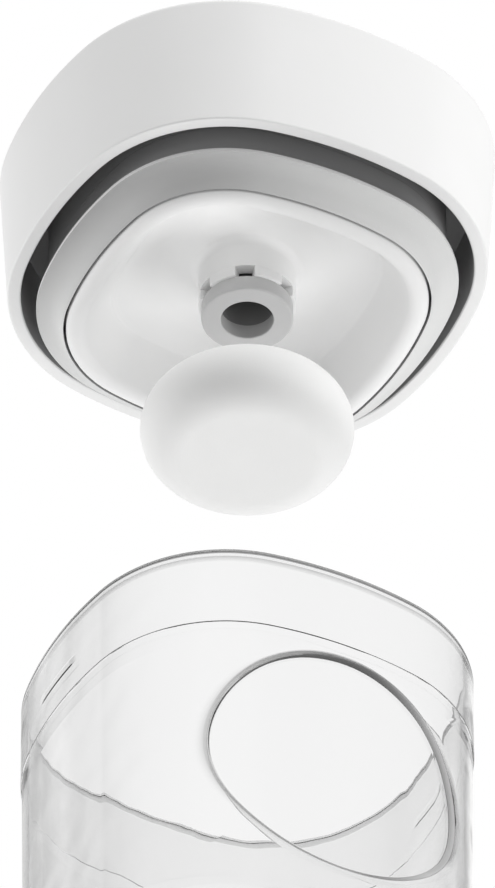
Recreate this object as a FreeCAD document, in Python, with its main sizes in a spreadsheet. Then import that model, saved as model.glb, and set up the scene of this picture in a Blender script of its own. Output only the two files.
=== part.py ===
import FreeCAD, Part
import math
import os

import Sketcher

# A square-round vacuum canister: clear tub, white lid with a lip seal, air duct and splash cap.
# Every horizontal outline is one family of parallel curves, so the wall gaps stay even all round.
# The tub stands on z = 0 about the Z axis, its round recess faces -Y, and the lid hangs open above it.

SIZES = {
    # shared outline, measured on the inside wall of the lid's skirt
    "skirt_half_width": 50.0,
    "side_radius": 100.0,
    "corner_radius": 37.5,
    # clear tub
    "container_height": 109.0,
    "rim_clearance": 1.0,
    "rim_wall": 2.3,
    "rim_edge_radius": 0.7,
    "band_height": 22.2,
    "band_step": 0.3,
    "wall_taper_angle": 0.6,
    "seal_depth": 27.0,
    "cavity_taper_angle": 1.0,
    "floor_thickness": 5.0,
    "base_edge_radius": 7.0,
    "floor_edge_radius": 7.5,
    "foot_inset": 14.0,
    "foot_depth": 1.2,
    "rib_length": 16.0,
    "rib_height": 2.6,
    "rib_proud": 0.35,
    "rib_drop": 13.6,
    # round recess on the front of the tub
    "recess_radius": 30.6,
    "recess_drop": 57.5,
    "recess_depth": 1.1,
    "recess_chamfer": 0.9,
    "recess_reach": 20.0,
    # outer lid
    "lid_lift": 131.6,
    "lid_height": 36.8,
    "lid_top_wall": 3.0,
    "lid_edge_radius": 1.5,
    "skirt_wall": 3.2,
    "skirt_taper_angle": 3.25,
    "skirt_edge_radius": 0.5,
    # pump seat and air holes in the lid's top
    "well_radius": 19.0,
    "well_depth": 6.0,
    "well_wall": 3.0,
    "well_floor": 3.0,
    "well_edge_radius": 0.8,
    "air_hole_radius": 1.4,
    "air_hole_circle": 5.2,
    "air_hole_count": 6,
    # inner lid: flange, groove, bead and dish
    "flange_clearance": 0.1,
    "flange_thickness": 2.5,
    "rim_stop_clearance": 0.5,
    "liner_inset": 6.4,
    "liner_wall": 2.2,
    "groove_inset": 8.0,
    "groove_top": 6.1,
    "shelf_level": 5.0,
    "bead_inset": 10.6,
    "bead_level": 10.2,
    "bead_width": 4.8,
    "bead_radius": 2.9,
    "dish_level": 3.7,
    "dish_floor_inset": 27.0,
    "dish_bend_inset": 20.6,
    "dish_bend_level": 1.6,
    "dish_bend_radius": 9.0,
    "dish_wall": 2.2,
    # central boss and air duct of the inner lid
    "boss_radius": 11.35,
    "boss_level": 7.5,
    "boss_fillet_radius": 2.0,
    "boss_bore_radius": 8.5,
    "boss_bore_top": 1.5,
    "duct_radius": 6.2,
    "duct_wall": 2.3,
    "notch_count": 6,
    "notch_height": 2.9,
    "notch_inner_width": 2.4,
    "notch_outer_width": 5.2,
    "notch_start_share": 0.875,
    # lip seal
    "lip_clearance": 0.3,
    "lip_level": 4.1,
    "lip_thickness": 1.1,
    "lip_root_inset": 6.2,
    "lip_root_level": 2.4,
    "lip_hollow_radius": 12.0,
    "seal_clearance": 0.05,
    # grey ring with snap fingers
    "collar_radius": 10.75,
    "collar_height": 4.1,
    "collar_bore_radius": 6.15,
    "collar_edge_radius": 0.5,
    "finger_clearance": 0.1,
    "finger_length": 8.0,
    "finger_gap": 3.2,
    "gap_start_share": 0.5,
    # domed splash cap
    "cap_radius": 24.9,
    "cap_flat_radius": 15.3,
    "cap_shoulder_radius": 9.2,
    "cap_shoulder_angle": 52.0,
    "cap_crown_radius": 36.0,
    "cap_lip": 1.6,
    "cap_hollow_radius": 8.0,
    "cap_floor": 6.0,
    "socket_clearance": 0.3,
    "cap_seat_clearance": 0.3,
    "cap_pull": 26.4,
    # ring between duct and pump seat
    "duct_seal_height": 2.0,
    "duct_seal_wall": 2.1,
    # one-way valve
    "valve_head_radius": 7.6,
    "valve_head_height": 1.2,
    "valve_crown_radius": 16.0,
    "valve_edge_share": 0.5,
    "valve_knob_radius": 3.0,
    "valve_knob_height": 2.6,
    "valve_stem_radius": 1.8,
    "valve_stem_clearance": 0.3,
    "valve_lift": 2.0,
    "valve_bulb_radius": 3.0,
    "valve_bulb_height": 2.4,
    "valve_stop_clearance": 0.3,
    # one overrun serves every cut
    "cut_overrun": 2.0,
}

FLAT_TOLERANCE = 1e-4
FULL_TURN = 360
QUARTERS = 4
Z_AXIS = FreeCAD.Vector(0, 0, 1)


class Size:
    """A length that carries its sheet expression beside its present value."""

    def __init__(self, text, value):
        self.text = text
        self.value = value

    def __add__(self, other):
        return Size(f"({self.text} + {other.text})", self.value + other.value)

    def __sub__(self, other):
        return Size(f"({self.text} - {other.text})", self.value - other.value)

    def __neg__(self):
        return Size(f"(0 - {self.text})", -self.value)

    def __mul__(self, factor):
        return Size(f"({self.text} * {factor})", self.value * factor)

    def __truediv__(self, divisor):
        return Size(f"({self.text} / {divisor})", self.value / divisor)

    def times(self, share):
        """A share of this length, itself kept in the sheet."""
        return Size(f"({self.text} * {share.text})", self.value * share.value)

    def times_cos(self, angle):
        """This length's share along the base of the given angle in degrees."""
        share = math.cos(math.radians(angle.value))
        return Size(f"({self.text} * cos({angle.text}))", self.value * share)

    def times_sin(self, angle):
        """This length's share along the height of the given angle in degrees."""
        share = math.sin(math.radians(angle.value))
        return Size(f"({self.text} * sin({angle.text}))", self.value * share)

    def leg_of(self, slant):
        """The other leg of a right triangle whose slant side is given."""
        return Size(
            f"sqrt({slant.text} ^ 2 - {self.text} ^ 2)",
            math.sqrt(slant.value**2 - self.value**2),
        )


ZERO = Size("0", 0.0)


def size(name):
    """Look up one driving dimension."""
    return Size(f"Sizes.{name}", SIZES[name])


def make_sheet(doc):
    """Fill the sheet that drives the model."""
    sheet = doc.addObject("Spreadsheet::Sheet", "Sizes")
    for row, (name, value) in enumerate(SIZES.items(), start=1):
        sheet.set(f"A{row}", name)
        sheet.set(f"B{row}", str(value))
        sheet.setAlias(f"B{row}", name)
    doc.recompute()


def bind(feature, **sizes):
    """Drive properties of a feature from the sheet."""
    for name, length in sizes.items():
        feature.setExpression(name, length.text)


def bind_height(feature, height, path="Placement.Base.z"):
    """Drive the height at which a piece or a sketch lies."""
    feature.setExpression(path, height.text)


def new_body(doc, label, height=ZERO):
    """Start one sub-part at its height above the base."""
    body = doc.addObject("PartDesign::Body", label)
    body.Label = label
    bind_height(body, height)
    return body


def new_sketch(body, name, role="XY_Plane", height=ZERO):
    """Put an empty sketch on one of the body's own origin planes, moved along its normal."""
    sketch = body.newObject("Sketcher::SketchObject", name)
    plane = next(item for item in body.Origin.OriginFeatures if item.Role == role)
    sketch.AttachmentSupport = [(plane, "")]
    sketch.MapMode = "FlatFace"
    bind_height(sketch, height, "AttachmentOffset.Base.z")
    return sketch


def dimension(sketch, kind, name, length, *points):
    """Add a named dimension and drive it from the sheet."""
    index = sketch.addConstraint(Sketcher.Constraint(kind, *points, length.value))
    sketch.renameConstraint(index, name)
    sketch.setExpression(f"Constraints.{name}", length.text)


def fix_coordinate(sketch, kind, name, length, geometry, end):
    """Hold one coordinate of a point, on an axis or at a driven distance from it."""
    axis_of_kind = {"DistanceX": -2, "DistanceY": -1}
    if length is ZERO:
        sketch.addConstraint(Sketcher.Constraint("PointOnObject", geometry, end, axis_of_kind[kind]))
    elif length.value < 0:
        dimension(sketch, kind, name, -length, geometry, end, -1, 1)
    else:
        dimension(sketch, kind, name, length, -1, 1, geometry, end)


def draw_outline(sketch, inset, split=False):
    """Draw the square-round outline, moved inwards from the skirt's inside wall.

    Side arcs and corner arcs keep the centres of the shared outline, so outlines stay parallel.
    A split outline has an extra joint on the +X axis, where a swept section can start.
    """
    centre_distance = size("side_radius") - size("skirt_half_width")
    side = size("side_radius") - inset
    corner = size("corner_radius") - inset
    span = side.value - corner.value
    reach = centre_distance.value
    corner_centre = (math.sqrt(2 * span**2 - reach**2) - reach) / 2
    half_turn = math.atan2(corner_centre, corner_centre + reach)

    def arc(centre, radius, start, end):
        circle = Part.Circle(FreeCAD.Vector(*centre, 0), Z_AXIS, radius.value)
        return sketch.addGeometry(Part.ArcOfCircle(circle, start, end))

    sides = []
    corners = []
    chain = []
    for quarter in range(QUARTERS):
        turn = quarter * math.pi / 2
        side_centre = (-reach * math.cos(turn), -reach * math.sin(turn))
        middle = FreeCAD.Vector(corner_centre, corner_centre, 0)
        corner_place = FreeCAD.Rotation(Z_AXIS, math.degrees(turn)).multVec(middle)
        first_angle = turn if split and quarter == 0 else turn - half_turn
        sides.append(arc(side_centre, side, first_angle, turn + half_turn))
        place = (corner_place.x, corner_place.y)
        corners.append(arc(place, corner, turn + half_turn, turn + math.pi / 2 - half_turn))
        chain += [sides[-1], corners[-1]]
    if split:
        sides.append(arc((-reach, 0), side, -half_turn, 0))
        chain.append(sides[-1])
    for index, geometry in enumerate(chain):
        following = chain[(index + 1) % len(chain)]
        kind = "Coincident" if split and following == chain[0] else "Tangent"
        sketch.addConstraint(Sketcher.Constraint(kind, geometry, 2, following, 1))
    if split:
        sketch.addConstraint(Sketcher.Constraint("Coincident", sides[0], 3, sides[-1], 3))
        sketch.addConstraint(Sketcher.Constraint("PointOnObject", sides[0], 1, -1))
    for quarter in range(QUARTERS):
        along_x = quarter % 2 == 0
        name = f"centre_{quarter}"
        kind = "DistanceX" if along_x else "DistanceY"
        other = "DistanceY" if along_x else "DistanceX"
        signed = -centre_distance if quarter < QUARTERS / 2 else centre_distance
        fix_coordinate(sketch, kind, name, signed, sides[quarter], 3)
        fix_coordinate(sketch, other, name, ZERO, sides[quarter], 3)
    dimension(sketch, "Radius", "side", side, sides[0])
    dimension(sketch, "Radius", "corner", corner, corners[0])
    for geometry in sides[1:QUARTERS]:
        sketch.addConstraint(Sketcher.Constraint("Equal", sides[0], geometry))
    for geometry in corners[1:]:
        sketch.addConstraint(Sketcher.Constraint("Equal", corners[0], geometry))


def draw_profile(sketch, steps):
    """Draw a closed profile from corner points, with an arc wherever a step gives a radius.

    A step is (across, up, radius, side): the radius bends the edge that leaves the point,
    and side is +1 where the arc's centre lies left of the way along the edge, -1 where right.
    """
    plain = [(*step, None, 0)[:4] if len(step) == 2 else step for step in steps]
    edges = []
    for index, (across, up, radius, side) in enumerate(plain):
        far_across, far_up = plain[(index + 1) % len(plain)][:2]
        start = FreeCAD.Vector(across.value, up.value, 0)
        end = FreeCAD.Vector(far_across.value, far_up.value, 0)
        if radius is None:
            edges.append((sketch.addGeometry(Part.LineSegment(start, end)), 1, 2))
            continue
        half = (end - start) / 2
        left = FreeCAD.Vector(-half.y, half.x, 0).normalize()
        centre = start + half + left * side * math.sqrt(max(0, radius.value**2 - half.Length**2))
        first, last = (start, end) if side > 0 else (end, start)
        angles = [math.atan2(point.y - centre.y, point.x - centre.x) for point in (first, last)]
        circle = Part.Circle(centre, Z_AXIS, radius.value)
        geometry = sketch.addGeometry(Part.ArcOfCircle(circle, *angles))
        edges.append((geometry, 1, 2) if side > 0 else (geometry, 2, 1))
    for index, (geometry, _, tail) in enumerate(edges):
        following, head, _ = edges[(index + 1) % len(edges)]
        sketch.addConstraint(Sketcher.Constraint("Coincident", geometry, tail, following, head))
    for index, (across, up, radius, _) in enumerate(plain):
        geometry, head, _ = edges[index]
        fix_coordinate(sketch, "DistanceX", f"across_{index}", across, geometry, head)
        fix_coordinate(sketch, "DistanceY", f"up_{index}", up, geometry, head)
        if radius is not None:
            dimension(sketch, "Radius", f"bend_{index}", radius, geometry)


def draw_circle(sketch, radius, across=ZERO, name="circle"):
    """Draw a circle whose centre lies on the sketch's first axis."""
    centre = FreeCAD.Vector(across.value, 0, 0)
    geometry = sketch.addGeometry(Part.Circle(centre, Z_AXIS, radius.value))
    dimension(sketch, "Radius", f"{name}_radius", radius, geometry)
    fix_coordinate(sketch, "DistanceX", f"{name}_across", across, geometry, 3)
    fix_coordinate(sketch, "DistanceY", f"{name}_up", ZERO, geometry, 3)


def add_pad(body, name, sketch, length, taper=None, downwards=False, both_ways=False):
    """Raise a sketch into a solid, downwards or both ways where asked."""
    pad = body.newObject("PartDesign::Pad", name)
    pad.Profile = sketch
    pad.Reversed = downwards
    pad.Midplane = both_ways
    bind(pad, Length=length)
    if taper:
        bind(pad, TaperAngle=taper)
    body.Document.recompute()
    return pad


def add_pocket(body, name, sketch, depth, taper=None, upwards=False):
    """Cut a sketch into the solid and make sure that the cut takes something away."""
    before = body.Tip.Shape.Volume
    pocket = body.newObject("PartDesign::Pocket", name)
    pocket.Profile = sketch
    pocket.Reversed = upwards
    bind(pocket, Length=depth)
    if taper:
        bind(pocket, TaperAngle=taper)
    body.Document.recompute()
    if not pocket.Shape.Volume < before:
        raise RuntimeError(f"{name} cuts nothing")
    return pocket


def add_revolution(body, name, sketch):
    """Turn a profile about the Z axis."""
    turn = body.newObject("PartDesign::Revolution", name)
    turn.Profile = sketch
    turn.ReferenceAxis = (sketch, ["V_Axis"])
    turn.Angle = FULL_TURN
    body.Document.recompute()
    return turn


def add_swept_ring(body, name, steps):
    """Carry a section round the shared outline."""
    spine = new_sketch(body, f"{name}_spine")
    draw_outline(spine, ZERO, split=True)
    section = new_sketch(body, f"{name}_section", "XZ_Plane")
    draw_profile(section, steps)
    body.Document.recompute()
    ring = body.newObject("PartDesign::AdditivePipe", name)
    ring.Profile = section
    ring.Spine = (spine, [])
    body.Document.recompute()
    return ring


def add_fillet(body, name, radius, lies_on_edge):
    """Round every edge that the test picks by its box."""
    base = body.Tip
    edges = [
        f"Edge{number}"
        for number, edge in enumerate(base.Shape.Edges, start=1)
        if lies_on_edge(edge.BoundBox)
    ]
    fillet = body.newObject("PartDesign::Fillet", name)
    fillet.Base = (base, edges)
    bind(fillet, Radius=radius)
    body.Document.recompute()
    return fillet


def add_ring_of_cuts(body, name, pocket, sketch, count):
    """Repeat a cut round the Z axis."""
    pattern = body.newObject("PartDesign::PolarPattern", name)
    pattern.Originals = [pocket]
    pattern.Axis = (sketch, ["N_Axis"])
    pattern.Angle = FULL_TURN
    bind(pattern, Occurrences=count)
    body.Tip = pattern
    body.Document.recompute()
    return pattern


def at_height(height):
    """A test for edges that lie flat at one height."""
    return lambda box: max(abs(box.ZMin - height.value), abs(box.ZMax - height.value)) < FLAT_TOLERANCE


def wall_place(inset):
    """Distance from the axis to a wall, at the middle of a side."""
    return size("skirt_half_width") - inset


def lid_height_above_base():
    """Height of the lid's lower edge when the lid hangs open."""
    return size("container_height") + size("lid_lift")


def well_floor_height():
    """Height of the pump seat's floor above the lid's lower edge."""
    return size("lid_height") - size("well_depth")


def well_underside_height():
    """Height of the pump seat's underside above the lid's lower edge."""
    return well_floor_height() - size("well_floor")


def make_container_shell(doc):
    """The clear tub before its round recess: tapered wall, rim band, detent ribs and foot."""
    rim_inset = size("rim_clearance")
    body_inset = rim_inset + size("band_step")
    band_foot = size("container_height") - size("band_height")
    body = new_body(doc, "container_shell")

    wall_sketch = new_sketch(body, "wall_outline", height=band_foot)
    draw_outline(wall_sketch, body_inset)
    add_pad(body, "wall", wall_sketch, band_foot, taper=-size("wall_taper_angle"), downwards=True)

    band_sketch = new_sketch(body, "band_outline", height=band_foot)
    draw_outline(band_sketch, rim_inset)
    add_pad(body, "band", band_sketch, size("band_height"))

    rib_sketch = new_sketch(body, "rib_face", "YZ_Plane")
    rib_top = size("container_height") - size("rib_drop") + size("rib_height") / 2
    rib_side = size("rib_length") / 2
    rib_foot = rib_top - size("rib_height")
    draw_profile(
        rib_sketch,
        [(-rib_side, rib_foot), (rib_side, rib_foot), (rib_side, rib_top), (-rib_side, rib_top)],
    )
    rib_reach = wall_place(rim_inset) + size("rib_proud")
    add_pad(body, "ribs", rib_sketch, rib_reach * 2, both_ways=True)

    add_fillet(body, "base_edge", size("base_edge_radius"), at_height(ZERO))

    cavity_inset = rim_inset + size("rim_wall")
    mouth_sketch = new_sketch(body, "mouth_outline", height=size("container_height"))
    draw_outline(mouth_sketch, cavity_inset)
    add_pocket(body, "mouth", mouth_sketch, size("seal_depth"))
    seal_foot = size("container_height") - size("seal_depth")
    cavity_sketch = new_sketch(body, "cavity_outline", height=seal_foot)
    draw_outline(cavity_sketch, cavity_inset)
    cavity_depth = seal_foot - size("floor_thickness")
    add_pocket(body, "cavity", cavity_sketch, cavity_depth, taper=-size("cavity_taper_angle"))
    add_fillet(body, "floor_edge", size("floor_edge_radius"), at_height(size("floor_thickness")))
    add_fillet(body, "rim_edge", size("rim_edge_radius"), at_height(size("container_height")))

    foot_sketch = new_sketch(body, "foot_outline")
    draw_outline(foot_sketch, size("foot_inset"))
    add_pocket(body, "foot", foot_sketch, size("foot_depth"), upwards=True)
    return body


def make_wall_core(doc):
    """A solid whose side follows the tub's tapered wall, level with the floor of the recess."""
    core = new_body(doc, "recess_core")
    band_foot = size("container_height") - size("band_height")
    sketch = new_sketch(core, "core_outline", height=band_foot)
    draw_outline(sketch, size("rim_clearance") + size("band_step") + size("recess_depth"))
    add_pad(core, "core", sketch, band_foot, taper=-size("wall_taper_angle"), downwards=True)
    return core


def make_recess_disc(doc):
    """A disc that stands through the front wall, level with the middle of the recess."""
    disc = doc.addObject("Part::Cylinder", "recess_disc")
    bind(disc, Radius=size("recess_radius"), Height=size("recess_reach"))
    start = size("recess_reach") - size("skirt_half_width") - size("cut_overrun")
    disc.Placement.Rotation = FreeCAD.Rotation(FreeCAD.Vector(1, 0, 0), FULL_TURN / QUARTERS)
    disc.setExpression("Placement.Base.y", start.text)
    disc.setExpression("Placement.Base.z", (size("container_height") - size("recess_drop")).text)
    return disc


def add_cut(doc, name, base, tool):
    """Take one shape away from another."""
    result = doc.addObject("Part::Cut", name)
    result.Base = base
    result.Tool = tool
    doc.recompute()
    return result


def find_recess_edges(shape, core):
    """Names of the edges round the mouth of the recess, which stand clear of the core."""
    middle = (size("container_height") - size("recess_drop")).value
    radius = size("recess_radius").value
    clear_distance = (size("recess_depth") / 2).value
    names = []
    for number, edge in enumerate(shape.Edges, start=1):
        points = edge.discretize(Number=QUARTERS)
        offsets = [abs(math.hypot(point.x, point.z - middle) - radius) for point in points]
        distances = [core.distToShape(Part.Vertex(point))[0] for point in points]
        if max(offsets) < FLAT_TOLERANCE and min(distances) > clear_distance:
            names.append(f"Edge{number}")
    return names


def make_container(doc):
    """The clear tub with its round recess, bevelled all round the edge."""
    shell = make_container_shell(doc)
    core = make_wall_core(doc)
    recess = add_cut(doc, "recess", make_recess_disc(doc), core)
    recessed = add_cut(doc, "recessed_shell", shell, recess)
    body = new_body(doc, "container")
    body.BaseFeature = recessed
    doc.recompute()
    base = body.Tip
    bevel = body.newObject("PartDesign::Chamfer", "recess_bevel")
    bevel.Base = (base, find_recess_edges(base.Shape, core.Shape))
    bind(bevel, Size=size("recess_chamfer"))
    doc.recompute()
    return body


def make_lid_shell(doc):
    """The white outer lid: flared skirt, rounded top edge and the pump seat."""
    body = new_body(doc, "lid_shell", lid_height_above_base())
    outer_sketch = new_sketch(body, "skirt_outline")
    draw_outline(outer_sketch, -size("skirt_wall"))
    add_pad(body, "skirt", outer_sketch, size("lid_height"), taper=size("skirt_taper_angle"))
    add_fillet(body, "top_edge", size("lid_edge_radius"), at_height(size("lid_height")))

    inner_sketch = new_sketch(body, "inside_outline")
    draw_outline(inner_sketch, ZERO)
    add_pocket(body, "inside", inner_sketch, size("lid_height") - size("lid_top_wall"), upwards=True)
    add_fillet(body, "skirt_edge", size("skirt_edge_radius"), at_height(ZERO))

    tub_sketch = new_sketch(body, "well_tub_outline", height=well_underside_height())
    draw_circle(tub_sketch, size("well_radius") + size("well_wall"))
    tub_height = size("well_depth") + size("well_floor") - size("lid_top_wall") / 2
    add_pad(body, "well_tub", tub_sketch, tub_height)

    well_sketch = new_sketch(body, "well_outline", height=size("lid_height"))
    draw_circle(well_sketch, size("well_radius"))
    add_pocket(body, "well", well_sketch, size("well_depth"))
    add_fillet(body, "well_edge", size("well_edge_radius"), at_height(size("lid_height")))

    stem_sketch = new_sketch(body, "stem_hole_outline", height=well_floor_height())
    draw_circle(stem_sketch, size("valve_stem_radius") + size("valve_stem_clearance"))
    add_pocket(body, "stem_hole", stem_sketch, size("well_floor") + size("cut_overrun"))

    air_sketch = new_sketch(body, "air_hole_outline", height=well_floor_height())
    draw_circle(air_sketch, size("air_hole_radius"), size("air_hole_circle"))
    air_hole = add_pocket(body, "air_hole", air_sketch, size("well_floor") + size("cut_overrun"))
    add_ring_of_cuts(body, "air_holes", air_hole, air_sketch, size("air_hole_count"))
    return body


def flange_height():
    """Height of the flange's underside, where the tub's rim stops."""
    return size("band_height") + size("rim_stop_clearance")


def make_lid_liner(doc):
    """The white inner lid: flange, seal groove, bead, dish, and the boss with its air duct."""
    body = new_body(doc, "lid_liner", lid_height_above_base())
    flange_top = flange_height() + size("flange_thickness")
    wall_outside = wall_place(size("liner_inset"))
    wall_inside = wall_place(size("groove_inset") + size("liner_wall"))
    bead_outside = wall_place(size("bead_inset"))
    bead_inside = bead_outside - size("bead_width")
    bend = wall_place(size("dish_bend_inset"))
    plate_edge = wall_place(size("dish_floor_inset"))
    plate_top = size("dish_level") + size("dish_wall")
    groove = wall_place(size("groove_inset"))
    add_swept_ring(
        body,
        "rim_ring",
        [
            (wall_place(size("flange_clearance")), flange_height()),
            (wall_place(size("flange_clearance")), flange_top),
            (wall_inside, flange_top),
            (wall_inside, -size("shelf_level") + size("dish_wall")),
            (bend, plate_top),
            (plate_edge, plate_top),
            (plate_edge, size("dish_level"), size("dish_bend_radius"), -1),
            (bend, -size("dish_bend_level")),
            (bead_inside, -size("bead_level"), size("bead_radius"), +1),
            (bead_outside, -size("bead_level")),
            (bead_outside, -size("shelf_level")),
            (groove, -size("shelf_level")),
            (groove, size("groove_top")),
            (wall_outside, size("groove_top")),
            (wall_outside, flange_height()),
        ],
    )

    plate_sketch = new_sketch(body, "dish_floor_outline", height=size("dish_level"))
    draw_outline(plate_sketch, size("dish_floor_inset"))
    draw_circle(plate_sketch, size("boss_radius"))
    add_pad(body, "dish_floor", plate_sketch, size("dish_wall"))

    duct_top = well_underside_height() - size("duct_seal_height")
    duct_outside = size("duct_radius") + size("duct_wall")
    fillet = size("boss_fillet_radius")
    fillet_foot = size("boss_radius") + fillet
    boss_sketch = new_sketch(body, "boss_section", "XZ_Plane")
    draw_profile(
        boss_sketch,
        [
            (size("boss_bore_radius"), -size("boss_level")),
            (size("boss_radius"), -size("boss_level")),
            (size("boss_radius"), size("dish_level") - fillet, fillet, -1),
            (fillet_foot, size("dish_level")),
            (fillet_foot, plate_top),
            (duct_outside, plate_top),
            (duct_outside, duct_top),
            (size("duct_radius"), duct_top),
            (size("duct_radius"), size("boss_bore_top")),
            (size("boss_bore_radius"), size("boss_bore_top")),
        ],
    )
    add_revolution(body, "boss", boss_sketch)

    notch_sketch = new_sketch(body, "notch_outline", height=-size("boss_level"))
    inner = size("boss_bore_radius").times(size("notch_start_share"))
    outer = size("boss_radius") + size("cut_overrun") / 2
    inner_half = size("notch_inner_width") / 2
    outer_half = size("notch_outer_width") / 2
    draw_profile(
        notch_sketch,
        [(inner, -inner_half), (outer, -outer_half), (outer, outer_half), (inner, inner_half)],
    )
    notch = add_pocket(body, "notch", notch_sketch, size("notch_height"), upwards=True)
    add_ring_of_cuts(body, "notches", notch, notch_sketch, size("notch_count"))
    return body


def make_lid_gasket(doc):
    """The silicone lip seal, hooked into the groove and under the shelf of the inner lid."""
    body = new_body(doc, "lid_gasket", lid_height_above_base())
    lip_tip = wall_place(size("rim_clearance") + size("rim_wall") + size("lip_clearance"))
    lip_root = wall_place(size("lip_root_inset"))
    groove = wall_place(size("groove_inset")) + size("seal_clearance")
    hook = wall_place(size("bead_inset")) + size("seal_clearance")
    shelf = -size("shelf_level") - size("seal_clearance")
    add_swept_ring(
        body,
        "lip_ring",
        [
            (hook, -size("bead_level"), size("lip_hollow_radius"), -1),
            (lip_tip, -size("lip_level")),
            (lip_tip, -size("lip_level") + size("lip_thickness")),
            (lip_root, -size("lip_root_level")),
            (lip_root, size("groove_top") - size("seal_clearance")),
            (groove, size("groove_top") - size("seal_clearance")),
            (groove, shelf),
            (hook, shelf),
        ],
    )
    return body


def collar_bottom():
    """Height of the collar's lower face above the lid's lower edge."""
    return -size("boss_level") - size("collar_height")


def make_valve_collar(doc):
    """The grey ring under the boss, with snap fingers that leave the notches open to the bore."""
    body = new_body(doc, "valve_collar", lid_height_above_base())
    finger_outside = size("boss_bore_radius") - size("finger_clearance")
    finger_top = size("finger_length") - size("boss_level")
    edge = size("collar_edge_radius")
    section = new_sketch(body, "collar_section", "XZ_Plane")
    draw_profile(
        section,
        [
            (size("collar_bore_radius"), collar_bottom()),
            (size("collar_radius") - edge, collar_bottom(), edge, +1),
            (size("collar_radius"), collar_bottom() + edge),
            (size("collar_radius"), -size("boss_level")),
            (finger_outside, -size("boss_level")),
            (finger_outside, finger_top),
            (size("collar_bore_radius"), finger_top),
        ],
    )
    add_revolution(body, "collar", section)
    gap_sketch = new_sketch(body, "finger_gap_outline", height=-size("boss_level"))
    gap_half = size("finger_gap") / 2
    gap_start = size("collar_bore_radius").times(size("gap_start_share"))
    draw_profile(
        gap_sketch,
        [
            (gap_start, -gap_half),
            (size("boss_bore_radius"), -gap_half),
            (size("boss_bore_radius"), gap_half),
            (gap_start, gap_half),
        ],
    )
    gap_height = size("finger_length") + size("cut_overrun")
    gap = add_pocket(body, "finger_gap", gap_sketch, gap_height, upwards=True)
    add_ring_of_cuts(body, "finger_gaps", gap, gap_sketch, size("notch_count"))
    return body


def cap_heights():
    """Heights of the cap's widest line, shoulder end and mouth above its flat face."""
    widest = size("cap_radius") - size("cap_flat_radius")
    bend = size("cap_shoulder_radius")
    angle = size("cap_shoulder_angle")
    shoulder = widest + bend.times_sin(angle)
    crown_centre = shoulder - size("cap_crown_radius").times_sin(angle)
    shoulder_across = size("cap_radius") - bend + bend.times_cos(angle)
    crown_axis = shoulder_across - size("cap_crown_radius").times_cos(angle)
    mouth_outside = size("collar_radius") + size("socket_clearance") + size("cap_lip")
    mouth = crown_centre + (mouth_outside - crown_axis).leg_of(size("cap_crown_radius"))
    return widest, shoulder, shoulder_across, mouth, mouth_outside


def make_splash_cap(doc):
    """The flat-bottomed silicone dome, drawn off the collar, with the socket that pushes onto it."""
    widest, shoulder, shoulder_across, mouth, mouth_outside = cap_heights()
    socket_floor = mouth - size("collar_height")
    seated = lid_height_above_base() + collar_bottom() - size("cap_seat_clearance") - socket_floor
    body = new_body(doc, "splash_cap", seated - size("cap_pull"))
    socket = size("collar_radius") + size("socket_clearance")
    section = new_sketch(body, "cap_section", "XZ_Plane")
    draw_profile(
        section,
        [
            (ZERO, ZERO),
            (size("cap_flat_radius"), ZERO, widest, +1),
            (size("cap_radius"), widest, size("cap_shoulder_radius"), +1),
            (shoulder_across, shoulder, size("cap_crown_radius"), +1),
            (mouth_outside, mouth),
            (socket, mouth),
            (socket, socket_floor),
            (size("cap_hollow_radius"), socket_floor),
            (size("cap_hollow_radius"), size("cap_floor")),
            (ZERO, size("cap_floor")),
        ],
    )
    add_revolution(body, "cap", section)
    return body


def make_duct_seal(doc):
    """The silicone ring squeezed between the air duct and the pump seat."""
    foot = lid_height_above_base() + well_underside_height() - size("duct_seal_height")
    body = new_body(doc, "duct_seal", foot)
    section = new_sketch(body, "ring_section", "XZ_Plane")
    inside = size("duct_radius")
    outside = inside + size("duct_seal_wall")
    height = size("duct_seal_height")
    draw_profile(section, [(inside, ZERO), (outside, ZERO), (outside, height), (inside, height)])
    add_revolution(body, "ring", section)
    return body


def make_release_valve(doc):
    """The one-way valve: a disc on the air holes, a knob to lift it and a stem with a stop bulb."""
    body = new_body(doc, "release_valve", lid_height_above_base() + well_floor_height())
    stem_foot = -size("well_floor") - size("valve_lift") - size("valve_stop_clearance")
    knob_top = size("valve_head_height") + size("valve_knob_height")
    head_edge = size("valve_head_height").times(size("valve_edge_share"))
    section = new_sketch(body, "valve_section", "XZ_Plane")
    draw_profile(
        section,
        [
            (ZERO, stem_foot - size("valve_bulb_height")),
            (size("valve_stem_radius"), stem_foot - size("valve_bulb_height")),
            (size("valve_bulb_radius"), stem_foot),
            (size("valve_stem_radius"), stem_foot),
            (size("valve_stem_radius"), ZERO),
            (size("valve_head_radius"), ZERO),
            (size("valve_head_radius"), head_edge, size("valve_crown_radius"), +1),
            (size("valve_knob_radius"), size("valve_head_height")),
            (size("valve_knob_radius"), knob_top),
            (ZERO, knob_top),
        ],
    )
    add_revolution(body, "valve", section)
    return body


def check_document(doc, pieces):
    """Stop if any object failed or any sub-part is not one sound solid."""
    for item in doc.Objects:
        if {"Invalid", "Error"} & set(item.State):
            raise RuntimeError(f"{item.Name} is {item.State}")
    for piece in pieces:
        shape = piece.Shape
        if shape.isNull() or not shape.isValid() or len(shape.Solids) != 1:
            raise RuntimeError(f"{piece.Label} is not one sound solid")


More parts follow.
